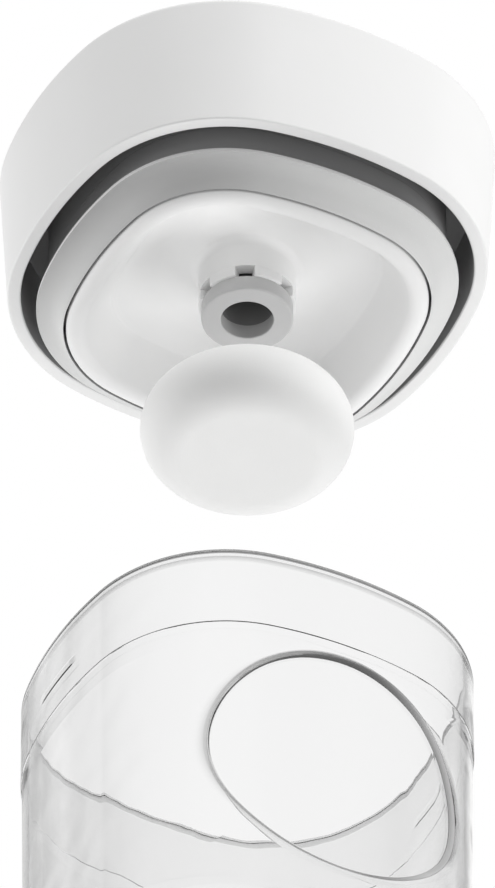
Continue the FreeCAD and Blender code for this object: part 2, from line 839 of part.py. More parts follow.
def main():
    """Build the document and write one file for each sub-part."""
    doc = FreeCAD.newDocument("vacuum_canister")
    make_sheet(doc)
    makers = (
        make_container,
        make_lid_shell,
        make_lid_liner,
        make_lid_gasket,
        make_valve_collar,
        make_splash_cap,
        make_duct_seal,
        make_release_valve,
    )
    pieces = [maker(doc) for maker in makers]
    doc.recompute()
    check_document(doc, pieces)
    os.makedirs("parts", exist_ok=True)
    for piece in pieces:
        piece.Shape.exportStep(f"parts/{piece.Label}.step")
        print(f"{piece.Label}: {piece.Shape.Volume:.1f} mm3")


main()
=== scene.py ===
import logging
import math
from dataclasses import dataclass, field
from enum import Enum
from typing import Any, Callable, Optional, Sequence, Union

import bmesh
import bpy
from mathutils import Matrix, Vector


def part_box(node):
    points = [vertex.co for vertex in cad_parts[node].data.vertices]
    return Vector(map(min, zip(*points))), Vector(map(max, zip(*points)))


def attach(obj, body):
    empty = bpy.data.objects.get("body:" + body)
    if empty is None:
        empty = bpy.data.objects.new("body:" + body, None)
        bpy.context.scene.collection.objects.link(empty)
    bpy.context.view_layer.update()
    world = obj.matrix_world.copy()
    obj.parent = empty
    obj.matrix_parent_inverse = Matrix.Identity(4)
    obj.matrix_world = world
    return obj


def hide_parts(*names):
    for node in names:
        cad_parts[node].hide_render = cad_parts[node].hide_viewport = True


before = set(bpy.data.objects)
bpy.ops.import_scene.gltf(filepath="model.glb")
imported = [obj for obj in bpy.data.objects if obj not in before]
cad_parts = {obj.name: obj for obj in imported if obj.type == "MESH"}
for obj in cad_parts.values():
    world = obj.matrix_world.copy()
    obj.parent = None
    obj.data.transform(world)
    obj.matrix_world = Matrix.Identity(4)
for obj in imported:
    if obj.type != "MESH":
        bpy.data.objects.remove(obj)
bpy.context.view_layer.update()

# A square-round vacuum canister seen from below: clear tub, and above it the open lid with its lip seal,
# air duct, grey collar and splash cap. The object's sizes are millimetres until a mesh is written in metres.
# The studio's sizes are metres.

LOG = logging.getLogger("canister")
MM = 0.001
IMAGE_HEIGHT = 888
QUARTERS = 4
SMOOTH_ANGLE = math.radians(38.0)
WELD_DISTANCE = 1e-4
NEAR = 0.01
# Vertex mark: on the tub, the painted shade and painted light of its edges; on the seal, its painted shade.
EDGE_MARK = "edge"

# Steps of arcs, corners and rounds, and the points that hold long runs flat.
ARC_STEP = math.radians(6.0)
ARC_LENGTH = 0.6
ARC_LEAST_STEPS = 3
CORNER_STEP = 1.6 * ARC_STEP
CORNER_LEAST_STEPS = 2
CORNER_SHARE = 0.46
HOLD = 0.08
LONG_RUN = 8 * HOLD
TURNED_STEPS = 144
BLOCK_STEPS = 12
BEVEL_SEGMENTS = 3
HOLE_STEPS = 40

# Detail and roughness of the finishes' noises.
CLOUD_NOISE = (4.0, 0.55)
GRAIN_NOISE = (2.0, 0.6)
FLOW_NOISE = (1.0, 0.4)

Point = tuple[float, float]
Colour = tuple[float, float, float, float]


class Body(Enum):
    """The moving bodies of the frame."""

    TUB = "container"
    LID = "lid"
    CAP = "splash_cap"
    VALVE = "release_valve"


class Slot(Enum):
    """Names of material slots."""

    CLEAR = "clear_plastic"
    WHITE = "white_plastic"
    SEAL = "grey_silicone"
    COLLAR = "grey_plastic"
    SOFT_WHITE = "white_silicone"


class Value:
    """A node socket that takes part in Python arithmetic."""

    def __init__(self, tree: bpy.types.NodeTree, socket: bpy.types.NodeSocket) -> None:
        """Wrap one output socket of a tree."""
        self.tree = tree
        self.socket = socket

    def _math(self, operation: str, first: Any, second: Any) -> "Value":
        """Add one Math node.

        Args:
            operation: The node's operation.
            first: A Value or a number.
            second: A Value or a number.

        Returns:
            The node's result.
        """
        node = self.tree.nodes.new("ShaderNodeMath")
        node.operation = operation
        for socket, item in zip(node.inputs, (first, second)):
            if isinstance(item, Value):
                self.tree.links.new(item.socket, socket)
            else:
                socket.default_value = item
        return Value(self.tree, node.outputs[0])

    def __add__(self, other: Any) -> "Value":
        """Sum."""
        return self._math("ADD", self, other)

    def __radd__(self, other: Any) -> "Value":
        """Sum with a number on the left."""
        return self._math("ADD", other, self)

    def __sub__(self, other: Any) -> "Value":
        """Difference."""
        return self._math("SUBTRACT", self, other)

    def __rsub__(self, other: Any) -> "Value":
        """Difference from a number on the left."""
        return self._math("SUBTRACT", other, self)

    def __mul__(self, other: Any) -> "Value":
        """Product."""
        return self._math("MULTIPLY", self, other)

    def __rmul__(self, other: Any) -> "Value":
        """Product with a number on the left."""
        return self._math("MULTIPLY", other, self)

    def __truediv__(self, other: Any) -> "Value":
        """Quotient."""
        return self._math("DIVIDE", self, other)

    def greatest(self, other: Any) -> "Value":
        """The larger of two values."""
        return self._math("MAXIMUM", self, other)

    def distance(self) -> "Value":
        """This value without its sign."""
        return self._math("ABSOLUTE", self, 0.0)

    def over(self, level: float) -> "Value":
        """One where this value lies above the level, else zero."""
        return self._math("GREATER_THAN", self, level)


class Wiring:
    """Adds nodes to one tree."""

    def __init__(self, tree: bpy.types.NodeTree) -> None:
        """Start on an emptied tree."""
        self.tree = tree
        tree.nodes.clear()

    def node(
        self,
        kind: str,
        settings: Optional[dict[str, Any]] = None,
        inputs: Optional[dict[Union[str, int], Any]] = None,
    ) -> bpy.types.Node:
        """Add a node, set it up and feed its sockets.

        Args:
            kind: The node's type.
            settings: Properties of the node.
            inputs: Plain values, Values, nodes or sockets, by socket name or index.

        Returns:
            The new node.
        """
        node = self.tree.nodes.new(kind)
        for name, setting in (settings or {}).items():
            setattr(node, name, setting)
        for name, item in (inputs or {}).items():
            if isinstance(item, Value):
                item = item.socket
            elif isinstance(item, bpy.types.Node):
                item = item.outputs[0]
            if isinstance(item, bpy.types.NodeSocket):
                self.tree.links.new(item, node.inputs[name])
            else:
                node.inputs[name].default_value = item
        return node

    def value(self, node: bpy.types.Node, output: Union[str, int] = 0) -> Value:
        """Wrap one output of a node for arithmetic."""
        return Value(self.tree, node.outputs[output])

    def own_place(self) -> bpy.types.NodeSocket:
        """The piece's own coordinates."""
        return self.node("ShaderNodeTexCoord").outputs["Object"]

    def edge_mark(self) -> Value:
        """The mark that the mesh carries at its vertices."""
        return self.value(self.node("ShaderNodeAttribute", {"attribute_name": EDGE_MARK}), "Fac")

    def ray(self, kind: str) -> Value:
        """One for rays of a kind, named as the Light Path node names it, else zero."""
        return self.value(self.node("ShaderNodeLightPath"), kind)

    def noise(self, size: float, detail: float, roughness: float) -> Value:
        """Noise over the piece's own coordinates.

        Args:
            size: Size of its features in millimetres.
            detail: How many finer layers it has.
            roughness: How strong the finer layers are.

        Returns:
            Its level.
        """
        inputs = {"Vector": self.own_place(), "Scale": 1.0 / (size * MM)}
        inputs.update({"Detail": detail, "Roughness": roughness})
        return self.value(self.node("ShaderNodeTexNoise", inputs=inputs))

    def ramp(self, value: Value, span: Point, ends: Point = (0.0, 1.0), kind: str = "LINEAR") -> Value:
        """Carry a value from one range to another and hold it at the ends.

        Args:
            value: The value.
            span: Where its range starts and ends.
            ends: The results there.
            kind: The node's interpolation.

        Returns:
            The result.
        """
        limits = dict(zip(("From Min", "From Max", "To Min", "To Max"), (*span, *ends)))
        node = self.node("ShaderNodeMapRange", {"interpolation_type": kind}, {"Value": value, **limits})
        return self.value(node)

    def bump(self, height: Value, depth: float) -> bpy.types.Node:
        """A Bump node whose depth is in millimetres."""
        return self.node("ShaderNodeBump", inputs={"Strength": 1.0, "Distance": depth * MM, "Height": height})

    def blend(self, share: Value, one: Any, two: Colour) -> bpy.types.NodeSocket:
        """Mix a colour or a colour socket with a second colour."""
        return self.node("ShaderNodeMix", {"data_type": "RGBA"}, {0: share, 6: one, 7: two}).outputs[2]

    def mix(self, share: Value, one: bpy.types.Node, two: bpy.types.Node) -> bpy.types.Node:
        """Mix two shaders."""
        return self.node("ShaderNodeMixShader", inputs={0: share, 1: one, 2: two})

    def output(self, shader: bpy.types.Node) -> None:
        """Make a shader the material's surface."""
        self.node("ShaderNodeOutputMaterial", inputs={"Surface": shader})


def grey(level: float) -> Colour:
    """A plain grey."""
    return (level, level, level, 1.0)


def new_material(name: str) -> tuple[bpy.types.Material, Wiring]:
    """Start a node material.

    Args:
        name: The material's name.

    Returns:
        The material and the wiring of its empty tree.
    """
    material = bpy.data.materials.new(name)
    material.use_nodes = True
    return material, Wiring(material.node_tree)


def add_object(name: str, data: bpy.types.ID) -> bpy.types.Object:
    """Put a mesh, curve, lamp or camera into the scene.

    Args:
        name: The object's name.
        data: What it shows.

    Returns:
        The new object.
    """
    item = bpy.data.objects.new(name, data)
    bpy.context.scene.collection.objects.link(item)
    return item


def settled_mesh(source: bpy.types.Object) -> bpy.types.Mesh:
    """A plain mesh of an object as its curve or modifier shapes it."""
    graph = bpy.context.evaluated_depsgraph_get()
    return bpy.data.meshes.new_from_object(source.evaluated_get(graph))


@dataclass(frozen=True)
class MouldedFinish:
    """An opaque moulded surface: base colour with faint clouding, fine grain and a set gloss."""

    name: str
    colour: Colour
    cloud_colour: Colour
    roughness: float
    roughness_spread: float = 0.08
    grain_size: float = 0.3
    grain_depth: float = 0.02
    cloud_size: float = 22.0
    speck_share: float = 0.0
    speck_colour: Optional[Colour] = None
    painted_shade_colour: Optional[Colour] = None
    sheen: float = 0.0
    specular: float = 0.5

    def material(self) -> bpy.types.Material:
        """Build the material.

        Returns:
            A node material that reads the piece's Object coordinates.
        """
        material, wiring = new_material(self.name)
        cloud = wiring.noise(self.cloud_size, *CLOUD_NOISE)
        grain = wiring.noise(self.grain_size, *GRAIN_NOISE)
        tint = wiring.blend(cloud, self.colour, self.cloud_colour)
        if self.speck_colour:
            tint = wiring.blend(grain.over(1.0 - self.speck_share), tint, self.speck_colour)
        # Painted shade: the mesh's mark blends the colour towards a darker one where shade falls.
        if self.painted_shade_colour:
            tint = wiring.blend(wiring.edge_mark(), tint, self.painted_shade_colour)
        shader = wiring.node(
            "ShaderNodeBsdfPrincipled",
            inputs={
                "Base Color": tint,
                "Roughness": self.roughness + self.roughness_spread * (cloud + grain - 1.0),
                "Normal": wiring.bump(grain, self.grain_depth),
                "Sheen Weight": self.sheen,
                "Specular IOR Level": self.specular,
            },
        )
        wiring.output(shader)
        return material


@dataclass(frozen=True)
class ClearFinish:
    """A clear moulded wall with a trace of haze, and a dull painted grey where the mesh marks an edge,
    standing in for the dark lines of the edges' refraction.

    Marks from 0 to 1 give the share of this painted shade, and marks from 1 to 2 make its tone paler, as
    painted light.
    """

    name: str
    colour: Colour
    refraction: float
    roughness: float
    haze_roughness: float
    flow_size: float
    flow_depth: float
    edge_tone: float
    pale_edge_tone: float
    edge_share: float
    edge_roughness: float

    def material(self) -> bpy.types.Material:
        """Build the material.

        Returns:
            A transmitting node material that reads the piece's Object coordinates and lets lamps through.
        """
        material, wiring = new_material(self.name)
        flow = wiring.noise(self.flow_size, *FLOW_NOISE)
        glass = wiring.node(
            "ShaderNodeBsdfPrincipled",
            inputs={
                "Base Color": self.colour,
                "Roughness": self.roughness + (self.haze_roughness - self.roughness) * flow,
                "Normal": wiring.bump(flow, self.flow_depth),
                "IOR": self.refraction,
                "Transmission Weight": 1.0,
            },
        )
        # Painted shade: a dull grey on the marked edges stands in for their dark refraction; marks over 1
        # make it paler, as painted light.
        mark = wiring.edge_mark()
        share = wiring.ramp(mark, (0.0, 1.0), (0.0, self.edge_share))
        tone = wiring.ramp(mark, (1.0, 2.0), (self.edge_tone, self.pale_edge_tone))
        painted_edge = wiring.node(
            "ShaderNodeBsdfPrincipled",
            inputs={"Base Color": tone, "Roughness": self.edge_roughness, "Specular IOR Level": 0.0},
        )
        passing = wiring.node("ShaderNodeBsdfTransparent", inputs={"Color": self.colour})
        wiring.output(wiring.mix(wiring.ray("Is Shadow Ray"), wiring.mix(share, glass, painted_edge), passing))
        return material


WHITE_PLASTIC = MouldedFinish(
    name="white_satin_plastic",
    colour=(0.80, 0.80, 0.795, 1.0),
    cloud_colour=grey(0.83),
    roughness=0.48,
    grain_size=0.35,
    grain_depth=0.012,
)
# Painted shade: dark grey on the skirt's inside, the channel and seam beside the seal, the seal's root and
# the boss's bore, where shade falls.
CHANNEL_SHADE_PAINT = MouldedFinish(
    name="painted_channel_shade",
    colour=(0.36, 0.36, 0.365, 1.0),
    cloud_colour=grey(0.4),
    roughness=0.6,
    roughness_spread=0.1,
    grain_size=0.4,
)
# Painted shade: dark grey for the collar's sleeve and fingers, deep in the bore where shade falls.
DEEP_SHADE = MouldedFinish(
    name="painted_duct_shade",
    colour=grey(0.20),
    cloud_colour=grey(0.23),
    roughness=0.6,
    roughness_spread=0.1,
    grain_size=0.4,
    specular=0.2,
)
# The seal's darker second colour is painted shade, strongest on one side of the ring and towards the lip.
SEAL_SILICONE = MouldedFinish(
    name="grey_seal_silicone",
    colour=(0.66, 0.665, 0.66, 1.0),
    cloud_colour=(0.70, 0.70, 0.695, 1.0),
    roughness=0.62,
    roughness_spread=0.1,
    grain_depth=0.03,
    cloud_size=9.0,
    speck_share=0.3,
    speck_colour=(0.78, 0.78, 0.77, 1.0),
    painted_shade_colour=grey(0.40),
    sheen=0.08,
)
# Painted highlight: a paler band on the seal's lip edge, where light catches it.
LIP_HIGHLIGHT_PAINT = MouldedFinish(
    name="painted_lip_highlight",
    colour=grey(0.70),
    cloud_colour=grey(0.74),
    roughness=0.5,
    grain_depth=0.015,
    cloud_size=9.0,
)
COLLAR_PLASTIC = MouldedFinish(
    name="grey_collar_plastic",
    colour=grey(0.50),
    cloud_colour=grey(0.54),
    roughness=0.5,
    cloud_size=6.0,
)
CAP_SILICONE = MouldedFinish(
    name="white_cap_silicone",
    colour=(0.78, 0.78, 0.775, 1.0),
    cloud_colour=(0.82, 0.82, 0.815, 1.0),
    roughness=0.66,
    roughness_spread=0.06,
    grain_size=0.4,
    cloud_size=14.0,
    specular=0.2,
)
CLEAR_PLASTIC = ClearFinish(
    name="clear_tub_plastic",
    colour=grey(0.945),
    refraction=1.52,
    roughness=0.0,
    haze_roughness=0.01,
    flow_size=17.0,
    flow_depth=0.2,
    edge_tone=0.2,
    pale_edge_tone=0.5,
    edge_share=0.9,
    edge_roughness=0.9,
)


@dataclass(frozen=True)
class Station:
    """One place along the shared outline, with its outward direction."""

    x: float
    y: float
    out_x: float
    out_y: float

    def at(self, across: float, half_width: float) -> Point:
        """The x and y where a parallel outline passes, from its own and the shared half width."""
        move = across - half_width
        return self.x + move * self.out_x, self.y + move * self.out_y


@dataclass(frozen=True)
class Outline:
    """The square-round family of parallel curves that every horizontal outline belongs to."""

    half_width: float = 50.0
    side_radius: float = 100.0
    corner_radius: float = 37.5
    side_steps: int = 20
    corner_steps: int = 32

    @property
    def reach(self) -> float:
        """Distance from the axis to the centre of a side's arc."""
        return self.side_radius - self.half_width

    @property
    def corner_centre(self) -> float:
        """Both coordinates of a corner arc's centre."""
        span = self.side_radius - self.corner_radius
        return (math.sqrt(2 * span**2 - self.reach**2) - self.reach) / 2

    @property
    def half_turn(self) -> float:
        """Half of the angle that a side's arc turns through."""
        return math.atan2(self.corner_centre, self.corner_centre + self.reach)

    def stations(self) -> list[Station]:
        """Places round the outline, starting on the +X side.

        Returns:
            The stations in counter-clockwise order.
        """
        half = self.half_turn
        corner_turn = math.pi / 2 - 2 * half
        corner = (self.corner_centre, self.corner_centre)
        arcs = [
            ((-self.reach, 0.0), self.side_radius, -half + 2 * half * step / self.side_steps)
            for step in range(self.side_steps)
        ]
        arcs += [
            (corner, self.corner_radius, half + corner_turn * step / self.corner_steps)
            for step in range(self.corner_steps)
        ]
        return [self._station(*arc, quarter * math.pi / 2) for quarter in range(QUARTERS) for arc in arcs]

    @staticmethod
    def _station(centre: Point, radius: float, angle: float, turn: float) -> Station:
        """Turn one arc point into its quarter.

        Args:
            centre: The arc's centre in the first quarter.
            radius: The arc's radius.
            angle: Where on the arc.
            turn: The quarter's angle.

        Returns:
            The station.
        """
        out_x, out_y = math.cos(angle), math.sin(angle)
        x, y = centre[0] + radius * out_x, centre[1] + radius * out_y
        cos_turn, sin_turn = math.cos(turn), math.sin(turn)
        return Station(
            x * cos_turn - y * sin_turn,
            x * sin_turn + y * cos_turn,
            out_x * cos_turn - out_y * sin_turn,
            out_x * sin_turn + out_y * cos_turn,
        )

    def front_depth(self, across: float, x: float) -> float:
        """Distance from the XZ plane to the front wall of an outline.

        Args:
            across: The outline's distance from the axis at the middle of a side.
            x: Where along the front wall.

        Returns:
            The distance in front of the plane.
        """
        move = across - self.half_width
        side = self.side_radius + move
        if abs(x) <= side * math.sin(self.half_turn):
            return math.sqrt(side**2 - x**2) - self.reach
        corner = self.corner_radius + move
        return self.corner_centre + math.sqrt(max(0.0, corner**2 - (abs(x) - self.corner_centre) ** 2))


@dataclass
class Section:
    """A run of section points, drawn like a pen stroke, in (across, up)."""

    points: list[Point] = field(default_factory=list)
    rounds: dict[int, float] = field(default_factory=dict)

    def to(self, across: float, up: float, edge: float = 0.0) -> "Section":
        """Draw a straight line to a point.

        Args:
            across: Where the line ends.
            up: Where the line ends.
            edge: Radius that rounds the corner there.

        Returns:
            This section.
        """
        if edge > 0:
            self.rounds[len(self.points)] = edge
        self.points.append((across, up))
        return self

    def arc(self, across: float, up: float, radius: float, left: bool) -> "Section":
        """Draw an arc to a point.

        Args:
            across: Where the arc ends.
            up: Where the arc ends.
            radius: The arc's radius.
            left: True where its centre lies left of the way.

        Returns:
            This section.
        """
        start, end = Vector(self.points[-1]), Vector((across, up))
        half = (end - start) / 2
        side = Vector((-half.y, half.x)).normalized() * (1 if left else -1)
        centre = start + half + side * math.sqrt(max(0.0, radius**2 - half.length**2))
        turn = 2 * math.asin(min(1.0, half.length / radius))
        first = math.atan2(start.y - centre.y, start.x - centre.x)
        steps = max(ARC_LEAST_STEPS, math.ceil(turn / ARC_STEP), math.ceil(turn * radius / ARC_LENGTH))
        for step in range(1, steps):
            angle = first + (turn if left else -turn) * step / steps
            self.points.append((centre.x + radius * math.cos(angle), centre.y + radius * math.sin(angle)))
        self.points.append((across, up))
        return self

    def finished(self, closed: bool = True) -> list[Point]:
        """Round the marked corners and hold the straight runs flat.

        Args:
            closed: True where the last point joins the first.

        Returns:
            The points of the finished run.
        """
        count = len(self.points)
        smooth: list[Point] = []
        for index, point in enumerate(self.points):
            edge = self.rounds.get(index)
            if edge is None or (not closed and index in (0, count - 1)):
                smooth.append(point)
            else:
                smooth += self._rounded(self.points[index - 1], point, self.points[(index + 1) % count], edge)
        return self._held(smooth, closed)

    @staticmethod
    def _rounded(before: Point, corner: Point, after: Point, radius: float) -> list[Point]:
        """Round one corner.

        Args:
            before: The point before the corner.
            corner: The corner.
            after: The point after it.
            radius: The rounding's radius, made smaller where the runs are short.

        Returns:
            Points of the arc in its place.
        """
        middle = Vector(corner)
        one, two = Vector(before) - middle, Vector(after) - middle
        half = one.angle(two) / 2
        cut = min(radius / math.tan(half), CORNER_SHARE * one.length, CORNER_SHARE * two.length)
        real_radius = cut * math.tan(half)
        start, end = middle + one.normalized() * cut, middle + two.normalized() * cut
        bisector = (one.normalized() + two.normalized()).normalized()
        centre = middle + bisector * (real_radius / math.sin(half))
        steps = max(CORNER_LEAST_STEPS, math.ceil((math.pi - 2 * half) / CORNER_STEP))
        spoke_start, spoke_end = start - centre, end - centre
        turn = spoke_start.angle_signed(spoke_end)
        points = []
        for step in range(steps + 1):
            spoke = Matrix.Rotation(-turn * step / steps, 2) @ spoke_start
            points.append((centre.x + spoke.x, centre.y + spoke.y))
        return points

    @staticmethod
    def _held(points: list[Point], closed: bool) -> list[Point]:
        """Add a point near both ends of each long run, so that shading stays flat between them.

        Args:
            points: The run's points.
            closed: True where the last point joins the first.

        Returns:
            All points in order.
        """
        held: list[Point] = []
        for start, end in zip(points, points[1:] + (points[:1] if closed else [])):
            held.append(start)
            run = Vector(end) - Vector(start)
            if run.length > LONG_RUN:
                step = run.normalized() * HOLD
                held.append((start[0] + step.x, start[1] + step.y))
                held.append((end[0] - step.x, end[1] - step.y))
        if not closed:
            held.append(points[-1])
        return held


@dataclass(frozen=True)
class Ring:
    """One level of a lofted surface: an outline or, where turned, a circle."""

    across: float
    up: float
    turned: bool = False
    finish: int = 0
    edge: float = 0.0


class Skin:
    """Collects the vertices and faces of one mesh, in millimetres."""

    def __init__(self, stations: Sequence[Station] = (), half_width: float = 0.0) -> None:
        """Start empty.

        Args:
            stations: Places round the shared outline, for rings.
            half_width: The shared outline's distance from the axis at the middle of a side.
        """
        self.stations = stations
        self.half_width = half_width
        self.vertices: list[tuple[float, float, float]] = []
        self.edges: list[float] = []
        self.faces: list[tuple[int, ...]] = []
        self.finishes: list[int] = []

    def vertex(self, x: float, y: float, z: float, edge: float = 0.0) -> int:
        """Add a vertex.

        Args:
            x: Its place.
            y: Its place.
            z: Its place.
            edge: Its edge mark.

        Returns:
            Its number.
        """
        self.vertices.append((x, y, z))
        self.edges.append(edge)
        return len(self.vertices) - 1

    def face(self, corners: Sequence[int], finish: int = 0) -> None:
        """Add a face."""
        self.faces.append(tuple(corners))
        self.finishes.append(finish)

    def loop(self, ring: Ring) -> list[int]:
        """Add the vertices of one ring.

        Args:
            ring: The ring.

        Returns:
            The vertices' numbers.
        """
        if ring.turned:
            angles = [math.atan2(station.y, station.x) for station in self.stations]
            places = [(ring.across * math.cos(angle), ring.across * math.sin(angle)) for angle in angles]
        else:
            places = [station.at(ring.across, self.half_width) for station in self.stations]
        return [self.vertex(x, y, ring.up, ring.edge) for x, y in places]

    def bridge(self, lower: Sequence[int], upper: Sequence[int], finish: int = 0) -> None:
        """Join two loops of equal length with quads.

        Args:
            lower: One loop.
            upper: The other loop.
            finish: Number of the finish between them.
        """
        for index in range(len(lower)):
            following = (index + 1) % len(lower)
            self.face((lower[index], lower[following], upper[following], upper[index]), finish)

    def chain(self, loops: Sequence[Sequence[int]]) -> None:
        """Join each loop to the next."""
        for lower, upper in zip(loops, loops[1:]):
            self.bridge(lower, upper)

    def fan(self, loop: Sequence[int], middle: int, finish: int = 0) -> None:
        """Join a loop to one vertex."""
        for index, corner in enumerate(loop):
            self.face((corner, loop[(index + 1) % len(loop)], middle), finish)

    def cap(self, loop: Sequence[int], height: float, finish: int = 0) -> None:
        """Close a loop on the axis."""
        self.fan(loop, self.vertex(0.0, 0.0, height), finish)

    def loft(self, rings: Sequence[Ring], closed: bool = True) -> None:
        """Skin a run of rings.

        Args:
            rings: The rings in order; one of no width is a point on the axis.
            closed: True where the last ring joins the first.
        """
        loops = [self.loop(ring) if ring.across > 0 else None for ring in rings]
        for index in range(len(rings) if closed else len(rings) - 1):
            following = (index + 1) % len(rings)
            one, two = loops[index], loops[following]
            finish = rings[index].finish
            if one is not None and two is not None:
                self.bridge(one, two, finish)
            elif one is not None:
                self.cap(one, rings[following].up, finish)
            elif two is not None:
                self.cap(two, rings[index].up, finish)

    def build(self, name: str, materials: Sequence[bpy.types.Material]) -> bpy.types.Object:
        """Write the mesh in metres and shade it.

        Args:
            name: The object's name.
            materials: Its materials, in the order of the finish numbers.

        Returns:
            The new object.
        """
        mesh = bpy.data.meshes.new(name)
        mesh.from_pydata([tuple(MM * part for part in vertex) for vertex in self.vertices], [], self.faces)
        for material in materials:
            mesh.materials.append(material)
        mesh.polygons.foreach_set("material_index", self.finishes)
        if any(self.edges):
            mesh.attributes.new(EDGE_MARK, "FLOAT", "POINT").data.foreach_set("value", self.edges)
        shell = bmesh.new()
        shell.from_mesh(mesh)
        bmesh.ops.remove_doubles(shell, verts=shell.verts, dist=WELD_DISTANCE * MM)
        bmesh.ops.recalc_face_normals(shell, faces=shell.faces)
        shell.to_mesh(mesh)
        shell.free()
        mesh.shade_smooth()
        mesh.set_sharp_from_angle(angle=SMOOTH_ANGLE)
        return add_object(name, mesh)


def turned_piece(
    name: str, points: Sequence[Point], base: float, material: bpy.types.Material, closed: bool = True
) -> bpy.types.Object:
    """Turn a section about the Z axis.

    Args:
        name: The piece's name.
        points: Its section in (radius, up).
        base: Height of the section's zero.
        material: Its finish.
        closed: True for a ring, False where both ends lie on the axis.

    Returns:
        The piece.
    """
    angles = [2 * math.pi * step / TURNED_STEPS for step in range(TURNED_STEPS)]
    circle = [(math.cos(angle), math.sin(angle)) for angle in angles]
    skin = Skin([Station(x, y, x, y) for x, y in circle], 1.0)
    skin.loft([Ring(radius, base + up, True) for radius, up in points], closed)
    return skin.build(name, [material])


class RingOfCopies:
    """A Geometry Nodes tree that repeats a mesh round the Z axis."""

    SHAPE = "Geometry"
    COUNT = "Count"
    FINISH = "Finish"

    def __init__(self) -> None:
        """Build the tree once."""
        self.tree = bpy.data.node_groups.new("ring_of_copies", "GeometryNodeTree")
        kinds = {
            self.SHAPE: "NodeSocketGeometry", self.COUNT: "NodeSocketInt", self.FINISH: "NodeSocketMaterial"
        }
        self.keys = {
            name: self.tree.interface.new_socket(name, in_out="INPUT", socket_type=kind).identifier
            for name, kind in kinds.items()
        }
        self.tree.interface.new_socket(self.SHAPE, in_out="OUTPUT", socket_type=kinds[self.SHAPE])
        wiring = Wiring(self.tree)
        given = wiring.node("NodeGroupInput")
        count = wiring.value(given, self.COUNT)
        turn = wiring.value(wiring.node("GeometryNodeInputIndex")) / count * (2 * math.pi)
        copies = wiring.node(
            "GeometryNodeInstanceOnPoints",
            inputs={
                "Points": wiring.node("GeometryNodePoints", inputs={"Count": count}),
                "Instance": given.outputs[self.SHAPE],
                "Rotation": wiring.node("ShaderNodeCombineXYZ", inputs={"Z": turn}),
            },
        )
        whole = wiring.node("GeometryNodeRealizeInstances", inputs={0: copies})
        painted = wiring.node(
            "GeometryNodeSetMaterial", inputs={"Geometry": whole, "Material": given.outputs[self.FINISH]}
        )
        wiring.node("NodeGroupOutput", inputs={0: painted})

    def apply(
        self, pattern: bpy.types.Object, name: str, count: int, material: bpy.types.Material
    ) -> bpy.types.Object:
        """Repeat a mesh and keep the result as a plain one.

        Args:
            pattern: The mesh to repeat; it is removed.
            name: The new piece's name.
            count: How many copies.
            material: Their finish.

        Returns:
            The piece.
        """
        modifier = pattern.modifiers.new("copies", "NODES")
        modifier.node_group = self.tree
        modifier[self.keys[self.COUNT]] = count
        modifier[self.keys[self.FINISH]] = material
        mesh = settled_mesh(pattern)
        mesh.name = name
        mesh.set_sharp_from_angle(angle=SMOOTH_ANGLE)
        pattern.modifiers.remove(modifier)
        bpy.data.objects.remove(pattern)
        return add_object(name, mesh)


@dataclass(frozen=True)
class SectorBlock:
    """A block between two radii and two heights, one of a ring, half a pitch after the +X axis."""

    name: str
    radii: Point
    heights: Point
    half_angle: Callable[[float], float]
    edge: float
    count: int

    def _arc(self, skin: Skin, radius: float, up: float) -> list[int]:
        """Add the vertices along one edge.

        Args:
            skin: The block's skin.
            radius: The edge's radius.
            up: The edge's height.

        Returns:
            The vertices' numbers.
        """
        half = self.half_angle(radius)
        first = math.pi / self.count - half
        angles = [first + 2 * half * step / BLOCK_STEPS for step in range(BLOCK_STEPS + 1)]
        return [skin.vertex(radius * math.cos(angle), radius * math.sin(angle), up) for angle in angles]

    def build(self, material: bpy.types.Material) -> bpy.types.Object:
        """Build the block with soft edges.

        Args:
            material: Its finish.

        Returns:
            The block, ready to be repeated.
        """
        skin = Skin()
        inner_low, inner_high, outer_low, outer_high = [
            self._arc(skin, radius, up) for radius in self.radii for up in self.heights
        ]
        arcs = (inner_low, outer_low, outer_high, inner_high)
        for one, two in zip(arcs, arcs[1:] + arcs[:1]):
            for step in range(BLOCK_STEPS):
                skin.face((one[step], one[step + 1], two[step + 1], two[step]))
        for step in (0, BLOCK_STEPS):
            skin.face([arc[step] for arc in arcs])
        block = skin.build(self.name, [material])
        bevel = block.modifiers.new("edges", "BEVEL")
        bevel.width = self.edge * MM
        bevel.segments = BEVEL_SEGMENTS
        bevel.limit_method = "ANGLE"
        block.data = settled_mesh(block)
        block.modifiers.remove(bevel)
        return block


def place(piece: bpy.types.Object, body: Body, slot: Slot, *nodes: str) -> None:
    """Let a piece ride on its body and stand for its nodes.

    Args:
        piece: The piece.
        body: The body that it moves with.
        slot: Not used.
        nodes: The nodes that it stands for.
    """
    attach(piece, body.value)
    if nodes:
        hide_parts(*nodes)
    LOG.info("%s: %d faces on %s", piece.name, len(piece.data.polygons), body.value)


